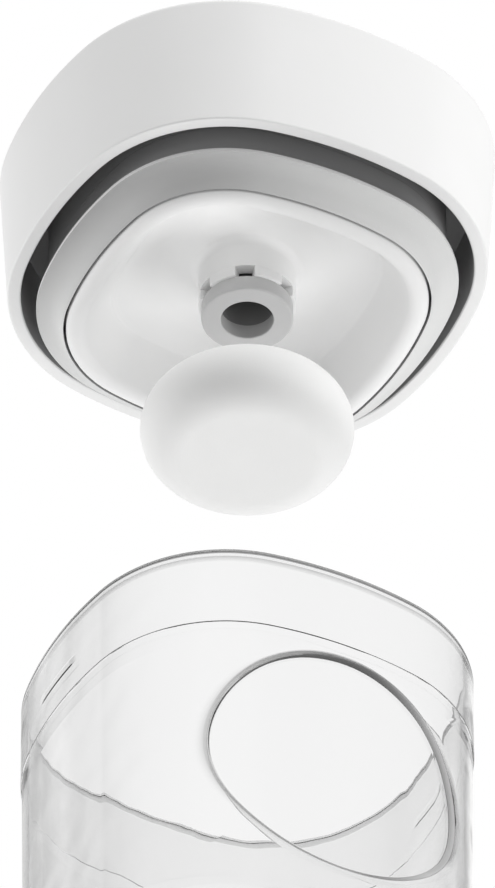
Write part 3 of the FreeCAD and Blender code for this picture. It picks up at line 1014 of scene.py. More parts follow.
@dataclass
class Tub:
    """The clear square-round tub with its rim band, detent ribs, round recess and foot.

    rim_marks and inner_marks give the painted shade on the edges of the rim's outside and inside as (drop,
    mark).
    """

    outline: Outline = Outline(side_steps=44, corner_steps=56)
    height: float = 109.0
    rim_across: float = 49.0
    rim_wall: float = 2.3
    rim_edge: float = 0.4
    rim_marks: tuple[Point, ...] = ((1.5, 0.0), (1.35, 0.8))
    inner_marks: tuple[Point, ...] = ((1.05, 0.0), (1.15, 0.42), (1.45, 0.42), (1.65, 0.28), (2.9, 0.0))
    far_rim_share: float = 0.35
    far_rim_start: float = -12.0
    far_rim_end: float = 22.0
    band_height: float = 22.2
    band_step: float = 0.3
    band_edge: float = 0.28
    wall_taper: float = math.tan(math.radians(0.6))
    seal_depth: float = 27.0
    seal_bend: float = 6.0
    cavity_taper: float = math.tan(math.radians(1.0))
    floor_up: float = 5.0
    floor_edge: float = 7.5
    floor_core: float = 20.0
    base_edge: float = 7.0
    foot_across: float = 36.0
    foot_depth: float = 1.2
    foot_edge: float = 0.3
    rib_drop: float = 13.6
    rib_height: float = 2.6
    rib_half_length: float = 8.0
    rib_end: float = 1.2
    rib_side_share: float = 0.4
    rib_rows: int = 26
    rib_proud: float = 0.09
    rib_reach: float = 1.0
    recess_radius: float = 30.6
    recess_drop: float = 57.5
    recess_depth: float = 1.1
    recess_foot_edge: float = 0.25
    recess_foot_flat: float = 1.0
    recess_floor_rings: int = 12
    lead_width: float = 2.0
    lead_angle: float = math.radians(8.0)
    roll_radius: float = 2.6
    roll_angle: float = math.radians(46.0)
    edge_onset: float = 0.12
    edge_ease: float = 0.5
    edge_end: float = 0.97
    left_ease: float = 0.85
    left_power: int = 3
    lit_gain: float = 1.4
    lit_edge_gain: float = 4.0
    patch_margin: float = 35.0
    patch_slack: float = 0.6
    patch_rows: int = 44
    patch_spread: int = 5

    @property
    def band_foot(self) -> float:
        """Height of the rim band's lower edge."""
        return self.height - self.band_height

    @property
    def recess_up(self) -> float:
        """Height of the recess's middle."""
        return self.height - self.recess_drop

    def wall_across(self, up: float) -> float:
        """The tapered wall's distance from the axis at a height."""
        return self.rim_across - self.band_step - (self.band_foot - up) * self.wall_taper

    def _base_points(self) -> list[Point]:
        """Draw the underside and base edge.

        Returns:
            Section points up to the foot of the straight wall.
        """
        section = Section()
        section.to(self.foot_across, self.foot_depth, self.foot_edge)
        section.to(self.foot_across, 0.0, self.foot_edge)
        section.to(self.wall_across(0.0) - self.base_edge, 0.0)
        section.arc(self.wall_across(self.base_edge), self.base_edge, self.base_edge, left=True)
        return section.finished(closed=False)

    def _wall_heights(self) -> list[float]:
        """Space the wall's rows, with the recess patch's own rows in the middle.

        Returns:
            The rows' heights.
        """
        low = self.recess_up - self.patch_margin
        high = self.recess_up + self.patch_margin
        patch = [low + (high - low) * row / self.patch_rows for row in range(self.patch_rows + 1)]
        return [self.base_edge + HOLD, *patch, self.band_foot - HOLD]

    def _rim_points(self) -> list[Point]:
        """Draw the band, rim and inside.

        Returns:
            Section points from the band's foot to the core of the floor.
        """
        rib_top = self.height - self.rib_drop + self.rib_height / 2
        rib_low = rib_top - self.rib_height
        inside = self.rim_across - self.rim_wall
        seal_foot = self.height - self.seal_depth
        floor_across = inside - (seal_foot - self.floor_up) * self.cavity_taper
        fillet_top = self.floor_up + self.floor_edge
        fillet_across = inside - (seal_foot - fillet_top) * self.cavity_taper
        section = Section()
        section.to(self.wall_across(self.band_foot), self.band_foot)
        section.to(self.rim_across, self.band_foot, self.band_edge)
        for row in range(self.rib_rows + 1):
            section.to(self.rim_across, rib_low + self.rib_height * row / self.rib_rows)
        for drop, _ in self.rim_marks:
            section.to(self.rim_across, self.height - drop)
        section.to(self.rim_across, self.height, self.rim_edge).to(inside, self.height, self.rim_edge)
        for drop, _ in self.inner_marks:
            section.to(inside, self.height - drop)
        section.to(inside, seal_foot, self.seal_bend).to(fillet_across, fillet_top)
        section.arc(floor_across - self.floor_edge, self.floor_up, self.floor_edge, left=False)
        section.to(self.floor_core, self.floor_up)
        return section.finished(closed=False)

    def _rim_mark(self, across: float, up: float) -> float:
        """How strongly the rim's edges are painted with shade: a band outside and a line inside.

        Args:
            across: Distance from the axis.
            up: Height.

        Returns:
            The mark given for the nearest drop, or 0 beyond them.
        """
        drop = self.height - up
        outside = across > self.rim_across - self.rim_edge - HOLD
        marks = self.rim_marks if outside else self.inner_marks
        drops = [marked_drop for marked_drop, _ in marks]
        if drop > max(drops) or (drop < min(drops) and not outside):
            return 0.0
        return min(marks, key=lambda mark: abs(mark[0] - drop))[1]

    def _shape_ribs(self, skin: Skin) -> None:
        """Swell the detent ribs out of the band, with soft sides and ends.

        Args:
            skin: The tub's skin.
        """
        middle = self.height - self.rib_drop
        for index, (x, y, z) in enumerate(skin.vertices):
            height_share = 1 - (1 - abs(z - middle) / (self.rib_height / 2)) / self.rib_side_share
            end_share = (abs(y) - self.rib_half_length + self.rib_end) / self.rib_end
            if abs(x) > self.rim_across - self.rib_reach and height_share < 1.0 and end_share < 1.0:
                side = (1 + math.cos(math.pi * max(0.0, height_share))) / 2
                swell = side * (1 + math.cos(math.pi * max(0.0, end_share))) / 2
                skin.vertices[index] = (x + math.copysign(swell * self.rib_proud, x), y, z)

    def _ease_far_rim(self, skin: Skin) -> None:
        """Make the painted edge shade fainter on the rim's back half.

        Args:
            skin: The tub's skin.
        """
        for index, (_, y, z) in enumerate(skin.vertices):
            if z > self.band_foot:
                share = (y - self.far_rim_start) / (self.far_rim_end - self.far_rim_start)
                skin.edges[index] *= 1 - (1 - self.far_rim_share) * min(1.0, max(0.0, share))

    def _recess_rings(self) -> list[tuple[float, float, float]]:
        """Draw the recess: a gentle lead, a tight roll, a straight slope and a flat floor.

        Returns:
            Radius, depth and edge share of its rings, from the mouth inwards.
        """
        lead_radius = self.lead_width / math.sin(self.lead_angle)
        lead_drop = lead_radius * (1 - math.cos(self.lead_angle))
        roll_width = self.roll_radius * (math.sin(self.roll_angle) - math.sin(self.lead_angle))
        roll_drop = self.roll_radius * (math.cos(self.lead_angle) - math.cos(self.roll_angle))
        slope_drop = self.recess_depth - lead_drop - roll_drop
        roll_foot = self.recess_radius + slope_drop / math.tan(self.roll_angle)
        section = Section().to(roll_foot + roll_width + self.lead_width, 0.0)
        section.arc(roll_foot + roll_width, -lead_drop, lead_radius, left=True)
        section.arc(roll_foot, -lead_drop - roll_drop, self.roll_radius, left=True)
        section.to(self.recess_radius, -self.recess_depth, self.recess_foot_edge)
        section.to(self.recess_radius - self.recess_foot_flat, -self.recess_depth)
        places = section.finished(closed=False)
        for ring in range(1, self.recess_floor_rings):
            places.append((self.recess_radius * (1 - ring / self.recess_floor_rings), -self.recess_depth))
        rings = []
        for radius, up in places:
            share = (-up - lead_drop) / (self.recess_depth - lead_drop)
            onset = min(1.0, max(0.0, share / self.edge_onset))
            edge = onset * (1 - self.edge_ease * share) if share < self.edge_end else 0.0
            rings.append((radius, -up, edge))
        return rings

    def _recess_mark(self, angle: float, edge: float) -> float:
        """Painted mark on the recess's ring: shade, fainter on the left, and a paler painted light on the
        right.

        Args:
            angle: Direction from the recess's middle.
            edge: The ring's edge share.

        Returns:
            The mark.
        """
        # Painted light: the ring's marks turn paler on the right, where light falls.
        lit = min(1.0, self.lit_gain * max(0.0, math.cos(angle)))
        mark = edge * (1 - self.left_ease * max(0.0, -math.cos(angle)) ** self.left_power)
        return mark + lit * ((1 + lit) * min(1.0, self.lit_edge_gain * edge) - mark)

    def _recess_vertex(self, skin: Skin, radius: float, angle: float, depth: float, edge: float) -> int:
        """Add a vertex on the front wall or behind it.

        Args:
            skin: The tub's skin.
            radius: Distance from the recess's middle.
            angle: Direction from it.
            depth: How far behind the wall.
            edge: Edge share.

        Returns:
            The vertex's number.
        """
        x = radius * math.cos(angle)
        z = self.recess_up + radius * math.sin(angle)
        y = -self.outline.front_depth(self.wall_across(z) - depth, x)
        return skin.vertex(x, y, z, self._recess_mark(angle, edge))

    def _recess_patch(self, skin: Skin, boundary: list[int]) -> None:
        """Fill the front of the wall with the round recess.

        Args:
            skin: The tub's skin.
            boundary: The loop of wall vertices round the patch.
        """
        rings = self._recess_rings()
        brim = rings[0][0] + HOLD
        polar = []
        for index in boundary:
            x, _, z = skin.vertices[index]
            polar.append((math.hypot(x, z - self.recess_up), math.atan2(z - self.recess_up, x)))
        loops = [boundary]
        for step in range(1, self.patch_spread):
            share = step / self.patch_spread
            loops.append([
                self._recess_vertex(skin, distance + (brim - distance) * share, angle, 0.0, 0.0)
                for distance, angle in polar
            ])
        for radius, depth, edge in [(brim, 0.0, 0.0), *rings]:
            loops.append([self._recess_vertex(skin, radius, angle, depth, edge) for _, angle in polar])
        skin.chain(loops)
        skin.fan(loops[-1], self._recess_vertex(skin, 0.0, 0.0, self.recess_depth, 0.0))

    def _open_wall(self, skin: Skin, wall: list[list[int]]) -> list[int]:
        """Skin the straight wall, apart from the recess's patch.

        Args:
            skin: The tub's skin.
            wall: The wall's rows of vertices.

        Returns:
            The loop of vertices round the patch.
        """
        reach = self.patch_margin + self.patch_slack
        front = [
            index for index, station in enumerate(skin.stations) if station.y < 0 and abs(station.x) < reach
        ]
        first, last = front[0], front[-1]
        low_row, top_row = 1, len(wall) - 2
        for row, (lower, upper) in enumerate(zip(wall, wall[1:])):
            for index in range(len(lower)):
                if low_row <= row < top_row and first <= index < last:
                    continue
                following = (index + 1) % len(lower)
                skin.face((lower[index], lower[following], upper[following], upper[index]))
        boundary = wall[low_row][first:last]
        boundary += [row[last] for row in wall[low_row:top_row]]
        boundary += wall[top_row][last:first:-1]
        boundary += [row[first] for row in wall[top_row:low_row:-1]]
        return boundary

    def build(self) -> None:
        """Build the tub as one closed clear wall."""
        skin = Skin(self.outline.stations(), self.outline.half_width)
        base = [skin.loop(Ring(across, up)) for across, up in self._base_points()]
        skin.cap(base[0], self.foot_depth)
        wall = [skin.loop(Ring(self.wall_across(up), up)) for up in self._wall_heights()]
        skin.chain([*base, wall[0]])
        self._recess_patch(skin, self._open_wall(skin, wall))
        rim = [
            skin.loop(Ring(across, up, edge=self._rim_mark(across, up))) for across, up in self._rim_points()
        ]
        skin.chain([wall[-1], *rim])
        skin.cap(rim[-1], self.floor_up)
        self._shape_ribs(skin)
        self._ease_far_rim(skin)
        piece = skin.build("clear_tub", [CLEAR_PLASTIC.material()])
        place(piece, Body.TUB, Slot.CLEAR, "container")


@dataclass
class Lid:
    """The white lid: outer shell with pump seat, and inner lid with dish, boss and air duct."""

    white: bpy.types.Material
    channel: bpy.types.Material
    copies: RingOfCopies
    outline: Outline = Outline()
    height: float = 36.8
    top_wall: float = 3.0
    top_edge: float = 1.5
    skirt_wall: float = 3.18
    skirt_taper: float = math.tan(math.radians(3.25))
    skirt_edge: float = 0.5
    round_within: float = 38.5
    well_radius: float = 19.0
    well_depth: float = 6.0
    well_wall: float = 3.0
    well_floor: float = 3.0
    well_edge: float = 0.8
    well_foot_edge: float = 0.5
    stem_hole: float = 2.1
    air_hole: float = 1.4
    air_circle: float = 5.2
    air_count: int = 6
    vent_radius: float = 8.2
    flange_across: float = 49.9
    flange_up: float = 22.7
    flange_thickness: float = 2.5
    flange_edge: float = 0.4
    wall_across: float = 43.6
    wall_inside: float = 39.8
    groove_across: float = 42.0
    groove_top: float = 6.1
    groove_edge: float = 0.3
    shelf_down: float = 5.0
    channel_up: float = 4.7
    bead_outside: float = 39.4
    bead_inside: float = 34.6
    bead_down: float = 10.2
    bead_radius: float = 2.9
    seam_white: float = 3.5
    bend_across: float = 28.6
    bend_down: float = 0.3
    bend_edge: float = 1.4
    dish_edge: float = 22.5
    dish_up: float = 2.8
    dish_bend: float = 17.2
    plate_edge: float = 17.0
    plate_up: float = 3.7
    plate_wall: float = 2.2
    boss_radius: float = 11.35
    boss_down: float = 7.5
    boss_fillet: float = 2.0
    bore_radius: float = 8.5
    bore_top: float = 1.5
    duct_radius: float = 6.2
    duct_outside: float = 8.5
    duct_top: float = 25.8
    duct_edge: float = 0.3
    notch_count: int = 6
    notch_height: float = 2.9
    notch_inner_half: float = 1.2
    notch_outer_half: float = 2.6
    notch_start: float = 7.4375
    notch_end: float = 12.35
    post_edge: float = 0.18
    base: float = field(init=False)

    def __post_init__(self) -> None:
        """Take the lid's height from the frame."""
        self.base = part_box("lid_shell")[0].z / MM

    @property
    def well_rim(self) -> float:
        """Radius at which the flat top meets the pump seat."""
        return self.well_radius + 2 * self.well_edge

    @property
    def notch_up(self) -> float:
        """Height of the upper ends of the boss's notches."""
        return self.notch_height - self.boss_down

    @property
    def dish_slope(self) -> float:
        """How steeply the dish rises inside its crease."""
        return (self.dish_up + self.bend_down) / (self.bend_across - self.dish_edge)

    def _rings(
        self, section: Section, turned: bool, shaded: Optional[Callable[[float, float], bool]] = None
    ) -> list[Ring]:
        """Make rings of an open section, white or, where shade falls, of the painted shade grey.

        Args:
            section: The section, with heights above the lid's lower edge.
            turned: True where its inner rings are circles.
            shaded: Tells whether a place lies in the shade.

        Returns:
            The rings.
        """
        rings = []
        for across, up in section.finished(closed=False):
            finish = int(shaded is not None and shaded(across, up))
            rings.append(Ring(across, self.base + up, turned and across < self.round_within, finish))
        return rings

    def _shell_shaded(self, across: float, up: float) -> bool:
        """Whether a place on the outer shell lies inside the skirt."""
        under_top = self.height - self.top_wall
        return across < self.outline.half_width + WELD_DISTANCE and up < under_top - WELD_DISTANCE

    def _wall_shaded(self, across: float, up: float) -> bool:
        """Whether a place on the inner lid's outside lies in the channel or in the seam beside the seal."""
        in_seam = across > self.bead_outside - NEAR and up > self.seam_white - self.bead_down + NEAR
        return in_seam or up > self.channel_up

    def _boss_shaded(self, across: float, up: float) -> bool:
        """Whether a place on the boss lies in its bore or in the duct."""
        return across < self.bore_radius + NEAR and up > self.notch_up

    def build_shell(self) -> None:
        """Build the outer shell: skirt, top and pump seat, once round its section."""
        half, under_top = self.outline.half_width, self.height - self.top_wall
        outside, well_outside = half + self.skirt_wall, self.well_radius + self.well_wall
        floor = self.height - self.well_depth
        under_floor = floor - self.well_floor
        skirt = Section().to(well_outside, under_top).to(half, under_top)
        skirt.to(half, 0.0, self.skirt_edge).to(outside, 0.0, self.skirt_edge)
        skirt.to(outside + self.height * self.skirt_taper, self.height, self.top_edge)
        skirt.to(self.well_rim, self.height)
        well = Section().to(self.well_rim, self.height)
        well.to(self.well_radius, self.height, self.well_edge)
        well.to(self.well_radius, floor, self.well_foot_edge).to(self.vent_radius, floor)
        under = Section().to(self.vent_radius, under_floor)
        under.to(well_outside, under_floor, self.well_foot_edge).to(well_outside, under_top)
        skin = Skin(self.outline.stations(), half)
        skin.loft(
            self._rings(skirt, True, self._shell_shaded) + self._rings(well, True) + self._rings(under, True)
        )
        piece = skin.build("outer_lid", [self.white, self.channel])
        place(piece, Body.LID, Slot.WHITE, "lid_shell")

    def build_liner(self) -> None:
        """Build the inner lid without the lowest part of its boss, once round its section."""
        wall = Section()
        wall.to(self.flange_across, self.flange_up).to(self.wall_across, self.flange_up, self.flange_edge)
        wall.to(self.wall_across, self.groove_top, self.groove_edge).to(self.groove_across, self.groove_top)
        wall.to(self.groove_across, -self.shelf_down).to(self.bead_outside, -self.shelf_down)
        wall.to(self.bead_outside, self.seam_white - self.bead_down).to(self.bead_outside, -self.bead_down)
        wall.arc(self.bead_inside, -self.bead_down, self.bead_radius, left=False)
        wall.to(self.bend_across, -self.bend_down, self.bend_edge)
        wall.to(self.bend_across - self.bend_edge, self.bend_edge * self.dish_slope - self.bend_down)
        foot = self.boss_radius + self.boss_fillet
        plate_top = self.plate_up + self.plate_wall
        boss = Section().to(self.dish_edge, self.dish_up)
        boss.arc(self.plate_edge, self.plate_up, self.dish_bend, left=True).to(foot, self.plate_up)
        boss.arc(self.boss_radius, self.plate_up - self.boss_fillet, self.boss_fillet, left=True)
        boss.to(self.boss_radius, self.notch_up).to(self.bore_radius, self.notch_up)
        boss.to(self.bore_radius, self.bore_top).to(self.duct_radius, self.bore_top, self.duct_edge)
        boss.to(self.duct_radius, self.duct_top).to(self.duct_outside, self.duct_top)
        boss.to(self.duct_outside, plate_top).to(foot, plate_top)
        flange_top = self.flange_up + self.flange_thickness
        top = Section().to(self.dish_edge, plate_top).to(self.bend_across, plate_top)
        top.to(self.wall_inside, -self.shelf_down + self.plate_wall)
        top.to(self.wall_inside, flange_top).to(self.flange_across, flange_top)
        skin = Skin(self.outline.stations(), self.outline.half_width)
        skin.loft(
            self._rings(wall, False, self._wall_shaded)
            + self._rings(boss, True, self._boss_shaded)
            + self._rings(top, False)
        )
        piece = skin.build("inner_lid", [self.white, self.channel])
        place(piece, Body.LID, Slot.WHITE, "lid_liner")

    def _post_half_angle(self, radius: float) -> float:
        """Half angle of a post between two splayed notches.

        Args:
            radius: Distance from the axis.

        Returns:
            The angle there.
        """
        share = (radius - self.notch_start) / (self.notch_end - self.notch_start)
        half_width = self.notch_inner_half + share * (self.notch_outer_half - self.notch_inner_half)
        return math.pi / self.notch_count - math.asin(half_width / radius)

    def build_posts(self) -> None:
        """Build the posts that stand between the boss's notches."""
        low = self.base - self.boss_down
        block = SectorBlock(
            name="boss_post",
            radii=(self.bore_radius, self.boss_radius),
            heights=(low, low + self.notch_height + HOLD),
            half_angle=self._post_half_angle,
            edge=self.post_edge,
            count=self.notch_count,
        )
        piece = self.copies.apply(block.build(self.white), "boss_posts", self.notch_count, self.white)
        place(piece, Body.LID, Slot.WHITE)

    def build_vent_plate(self) -> None:
        """Build the floor of the pump seat with its stem hole and ring of air holes."""
        curve = bpy.data.curves.new("vent_plate", "CURVE")
        curve.dimensions = "2D"
        curve.fill_mode = "BOTH"
        curve.extrude = self.well_floor / 2 * MM
        for radius in (self.vent_radius, self.stem_hole):
            self._add_circle(curve, 0.0, 0.0, radius)
        for hole in range(self.air_count):
            angle = 2 * math.pi * hole / self.air_count
            x, y = self.air_circle * math.cos(angle), self.air_circle * math.sin(angle)
            self._add_circle(curve, x, y, self.air_hole)
        sheet = add_object("vent_plate", curve)
        mesh = settled_mesh(sheet)
        bpy.data.objects.remove(sheet)
        middle = self.base + self.height - self.well_depth - self.well_floor / 2
        mesh.transform(Matrix.Translation((0.0, 0.0, middle * MM)))
        mesh.materials.clear()
        mesh.materials.append(self.white)
        piece = add_object("vent_plate", mesh)
        place(piece, Body.LID, Slot.WHITE)

    @staticmethod
    def _add_circle(curve: bpy.types.Curve, x: float, y: float, radius: float) -> None:
        """Add one closed round spline to a flat curve.

        Args:
            curve: The curve.
            x: The circle's middle.
            y: The circle's middle.
            radius: The circle's radius.
        """
        spline = curve.splines.new("POLY")
        spline.points.add(HOLE_STEPS - 1)
        for step, point in enumerate(spline.points):
            angle = 2 * math.pi * step / HOLE_STEPS
            point.co = ((x + radius * math.cos(angle)) * MM, (y + radius * math.sin(angle)) * MM, 0.0, 1.0)
        spline.use_cyclic_u = True


@dataclass
class LipSeal:
    """The grey silicone ring whose lip bends out to the tub's wall."""

    material: bpy.types.Material
    channel: bpy.types.Material
    lip_highlight_paint: bpy.types.Material
    outline: Outline = Outline()
    lip_across: float = 46.4
    lip_down: float = 4.1
    lip_thickness: float = 1.1
    lip_hollow: float = 6.6
    lip_band: float = 0.45
    shade_start: float = 41.5
    shade_least: float = 0.7
    shade_angle: float = math.radians(-67.3)
    shade_spread: float = 0.9
    root_across: float = 43.8
    root_down: float = 2.4
    root_top: float = 6.05
    root_edge: float = 0.8
    root_lit: float = 0.4
    groove_across: float = 42.05
    hook_across: float = 40.05
    hook_down: float = 10.45
    shelf_down: float = 5.05
    edge: float = 0.35

    def _lip_shade_share(self, across: float) -> float:
        """How far a place lies from the hook towards the lip, where the painted shade is darkest."""
        share = (across - self.shade_start) / (self.lip_across - self.lip_band - self.shade_start)
        return min(1.0, max(0.0, share))

    def _paint_side_shade(self, skin: Skin) -> None:
        """Paint shade on the seal: strongest on the side of the ring where the least light falls, fading away
        round the ring from there.

        Args:
            skin: The seal's skin.
        """
        for index, (x, y, _) in enumerate(skin.vertices):
            turn = math.remainder(math.atan2(x, -y) - self.shade_angle, 2 * math.pi) * self.shade_spread
            strength = max(0.0, math.cos(turn)) ** 2 if abs(turn) < math.pi / 2 else 0.0
            skin.edges[index] = strength * (self.shade_least + (1 - self.shade_least) * skin.edges[index])

    def _finish(self, across: float, up: float) -> int:
        """Choose the finish at a place on the section.

        Args:
            across: Distance from the axis.
            up: Height above the lid's lower edge.

        Returns:
            Number of the seal's own finish, of the painted shade on its root and seam, or of the painted
            highlight on its lip edge.
        """
        in_seam = across < self.hook_across + NEAR and up > -self.hook_down + self.edge
        if in_seam or up > -self.root_down + self.root_lit:
            return 1
        # Painted highlight on the lip's edge.
        return 2 if across > self.lip_across - self.lip_band else 0

    def build(self) -> None:
        """Build the seal with soft edges."""
        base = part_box("lid_shell")[0].z / MM
        section = Section()
        section.to(self.hook_across, -self.hook_down, self.edge)
        section.arc(self.lip_across, -self.lip_down, self.lip_hollow, left=False)
        section.to(self.lip_across, -self.lip_down + self.lip_thickness, self.edge)
        section.to(self.root_across, -self.root_down, self.root_edge)
        section.to(self.root_across, self.root_top, self.edge)
        section.to(self.groove_across, self.root_top, self.edge)
        section.to(self.groove_across, -self.shelf_down).to(self.hook_across, -self.shelf_down, self.edge)
        skin = Skin(self.outline.stations(), self.outline.half_width)
        skin.loft([
            Ring(across, base + up, finish=self._finish(across, up), edge=self._lip_shade_share(across))
            for across, up in section.finished()
        ])
        # Painted shade round the ring.
        self._paint_side_shade(skin)
        piece = skin.build("lip_seal", [self.material, self.channel, self.lip_highlight_paint])
        place(piece, Body.LID, Slot.SEAL, "lid_gasket")


@dataclass
class DuctFittings:
    """The small turned pieces on the air duct: collar, duct seal and release valve."""

    collar_finish: bpy.types.Material
    seal_finish: bpy.types.Material
    bore_shade_paint: bpy.types.Material
    copies: RingOfCopies
    boss_down: float = 7.5
    collar_radius: float = 10.75
    collar_height: float = 4.1
    collar_bore: float = 6.15
    collar_edge: float = 0.5
    collar_top_edge: float = 0.15
    bore_edge: float = 0.3
    finger_outside: float = 8.4
    finger_length: float = 8.0
    finger_gap: float = 3.2
    finger_count: int = 6
    finger_edge: float = 0.2
    sleeve_wall: float = 0.35
    sleeve_inset: float = 0.0875
    seal_inside: float = 6.2
    seal_outside: float = 8.3
    seal_height: float = 2.0
    seal_edge: float = 0.4
    head_radius: float = 7.6
    head_height: float = 1.2
    head_side: float = 0.6
    head_edge: float = 0.15
    knob_radius: float = 3.0
    knob_height: float = 2.6
    knob_edge: float = 0.9
    crown_radius: float = 16.0
    stem_radius: float = 1.8
    stem_length: float = 5.3
    stem_edge: float = 0.2
    bulb_radius: float = 3.0
    bulb_height: float = 2.4
    bulb_edge: float = 0.4
    bulb_tip_edge: float = 0.5

    def _finger_half_angle(self, radius: float) -> float:
        """Half angle of a finger between two slots of even width, at a radius."""
        return math.pi / self.finger_count - math.asin(self.finger_gap / 2 / radius)

    def build_collar(self) -> None:
        """Build the grey ring, and the sleeve and snap fingers that hold it in the boss, which carry the
        painted shade of the deep bore.
        """
        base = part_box("lid_shell")[0].z / MM
        top = -self.boss_down
        low, finger_top = top - self.collar_height, top + self.finger_length
        section = Section()
        section.to(self.collar_bore, low, self.bore_edge).to(self.collar_radius, low, self.collar_edge)
        section.to(self.collar_radius, top, self.collar_top_edge)
        section.to(self.collar_bore, top, self.collar_top_edge)
        ring = turned_piece("collar_ring", section.finished(), base, self.collar_finish)
        place(ring, Body.LID, Slot.COLLAR, "valve_collar")

        inside = self.collar_bore - self.sleeve_inset
        outside = inside + self.sleeve_wall
        sleeve = Section().to(inside, top - HOLD).to(outside, top - HOLD)
        sleeve.to(outside, finger_top).to(inside, finger_top)
        # The sleeve and the fingers below carry the bore's painted shade.
        lining = turned_piece("collar_sleeve", sleeve.finished(), base, self.bore_shade_paint)
        place(lining, Body.LID, Slot.COLLAR)

        block = SectorBlock(
            name="collar_finger",
            radii=(self.collar_bore, self.finger_outside),
            heights=(base + top - HOLD, base + top + self.finger_length),
            half_angle=self._finger_half_angle,
            edge=self.finger_edge,
            count=self.finger_count,
        )
        pattern = block.build(self.bore_shade_paint)
        fingers = self.copies.apply(pattern, "collar_fingers", self.finger_count, self.bore_shade_paint)
        place(fingers, Body.LID, Slot.COLLAR)

    def build_duct_seal(self) -> None:
        """Build the soft ring between the duct and the pump seat."""
        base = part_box("duct_seal")[0].z / MM
        inside, outside, up, edge = self.seal_inside, self.seal_outside, self.seal_height, self.seal_edge
        section = Section()
        section.to(inside, 0.0, edge).to(outside, 0.0, edge).to(outside, up, edge).to(inside, up, edge)
        ring = turned_piece("duct_ring", section.finished(), base, self.seal_finish)
        place(ring, Body.LID, Slot.SEAL, "duct_seal")

    def build_valve(self) -> None:
        """Build the release valve: head, knob, stem and stop bulb."""
        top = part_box("release_valve")[1].z / MM
        base = top - self.head_height - self.knob_height
        knob_top = self.head_height + self.knob_height
        tip = -self.stem_length - self.bulb_height
        section = Section()
        section.to(0.0, tip).to(self.stem_radius, tip, self.bulb_tip_edge)
        section.to(self.bulb_radius, -self.stem_length, self.bulb_edge)
        section.to(self.stem_radius, -self.stem_length, self.stem_edge)
        section.to(self.stem_radius, 0.0, self.stem_edge)
        section.to(self.head_radius, 0.0, self.head_edge).to(self.head_radius, self.head_side)
        section.arc(self.knob_radius, self.head_height, self.crown_radius, left=True)
        section.to(self.knob_radius, knob_top, self.knob_edge).to(0.0, knob_top)
        points = section.finished(closed=False)
        valve = turned_piece("valve_body", points, base, self.seal_finish, closed=False)
        place(valve, Body.VALVE, Slot.SEAL, "release_valve")


@dataclass
class SplashCap:
    """The soft white dome that pushes onto the collar, drawn off below it."""

    material: bpy.types.Material
    radius: float = 24.9
    flat_radius: float = 15.3
    shoulder_radius: float = 9.2
    shoulder_angle: float = math.radians(52.0)
    crown_radius: float = 36.0
    mouth_edge: float = 0.35
    lip: float = 1.6
    socket_radius: float = 11.05
    socket_depth: float = 4.1
    socket_edge: float = 0.3
    hollow_radius: float = 8.0
    hollow_edge: float = 0.8
    floor: float = 6.0

    def build(self) -> None:
        """Build the cap."""
        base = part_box("splash_cap")[0].z / MM
        widest = self.radius - self.flat_radius
        shoulder_up = widest + self.shoulder_radius * math.sin(self.shoulder_angle)
        shoulder_across = self.radius - self.shoulder_radius * (1 - math.cos(self.shoulder_angle))
        crown_up = shoulder_up - self.crown_radius * math.sin(self.shoulder_angle)
        crown_across = shoulder_across - self.crown_radius * math.cos(self.shoulder_angle)
        mouth_across = self.socket_radius + self.lip
        mouth = crown_up + math.sqrt(self.crown_radius**2 - (mouth_across - crown_across) ** 2)
        socket_floor = mouth - self.socket_depth
        section = Section().to(0.0, 0.0).to(self.flat_radius, 0.0)
        section.arc(self.radius, widest, widest, left=True)
        section.arc(shoulder_across, shoulder_up, self.shoulder_radius, left=True)
        section.arc(mouth_across, mouth, self.crown_radius, left=True)
        section.rounds[len(section.points) - 1] = self.mouth_edge
        section.to(self.socket_radius, mouth, self.mouth_edge)
        section.to(self.socket_radius, socket_floor, self.socket_edge)
        section.to(self.hollow_radius, socket_floor, self.socket_edge)
        section.to(self.hollow_radius, self.floor, self.hollow_edge).to(0.0, self.floor)
        cap = turned_piece("cap_dome", section.finished(closed=False), base, self.material, closed=False)
        place(cap, Body.CAP, Slot.SOFT_WHITE, "splash_cap")


def flat_sheet(name: str, width: float, height: float, material: bpy.types.Material) -> bpy.types.Object:
    """Add a flat sheet round the origin.

    Args:
        name: The sheet's name.
        width: Its size along X in metres.
        height: Its size along Y in metres.
        material: Its finish.

    Returns:
        The sheet.
    """
    wide, tall = width / 2, height / 2
    corners = ((-wide, -tall, 0.0), (wide, -tall, 0.0), (wide, tall, 0.0), (-wide, tall, 0.0))
    mesh = bpy.data.meshes.new(name)
    mesh.from_pydata(corners, [], [(0, 1, 2, 3)])
    mesh.materials.append(material)
    return add_object(name, mesh)


def look(item: bpy.types.Object, way: Vector) -> None:
    """Turn a camera or lamp to look along a direction."""
    item.rotation_mode = "QUATERNION"
    item.rotation_quaternion = way.to_track_quat("-Z", "Y")


@dataclass(frozen=True)
class SoftLamp:
    """A soft square lamp: degrees to the picture's right of the camera and above the horizon, and power."""

    name: str
    turn: float
    rise: float
    watts: float


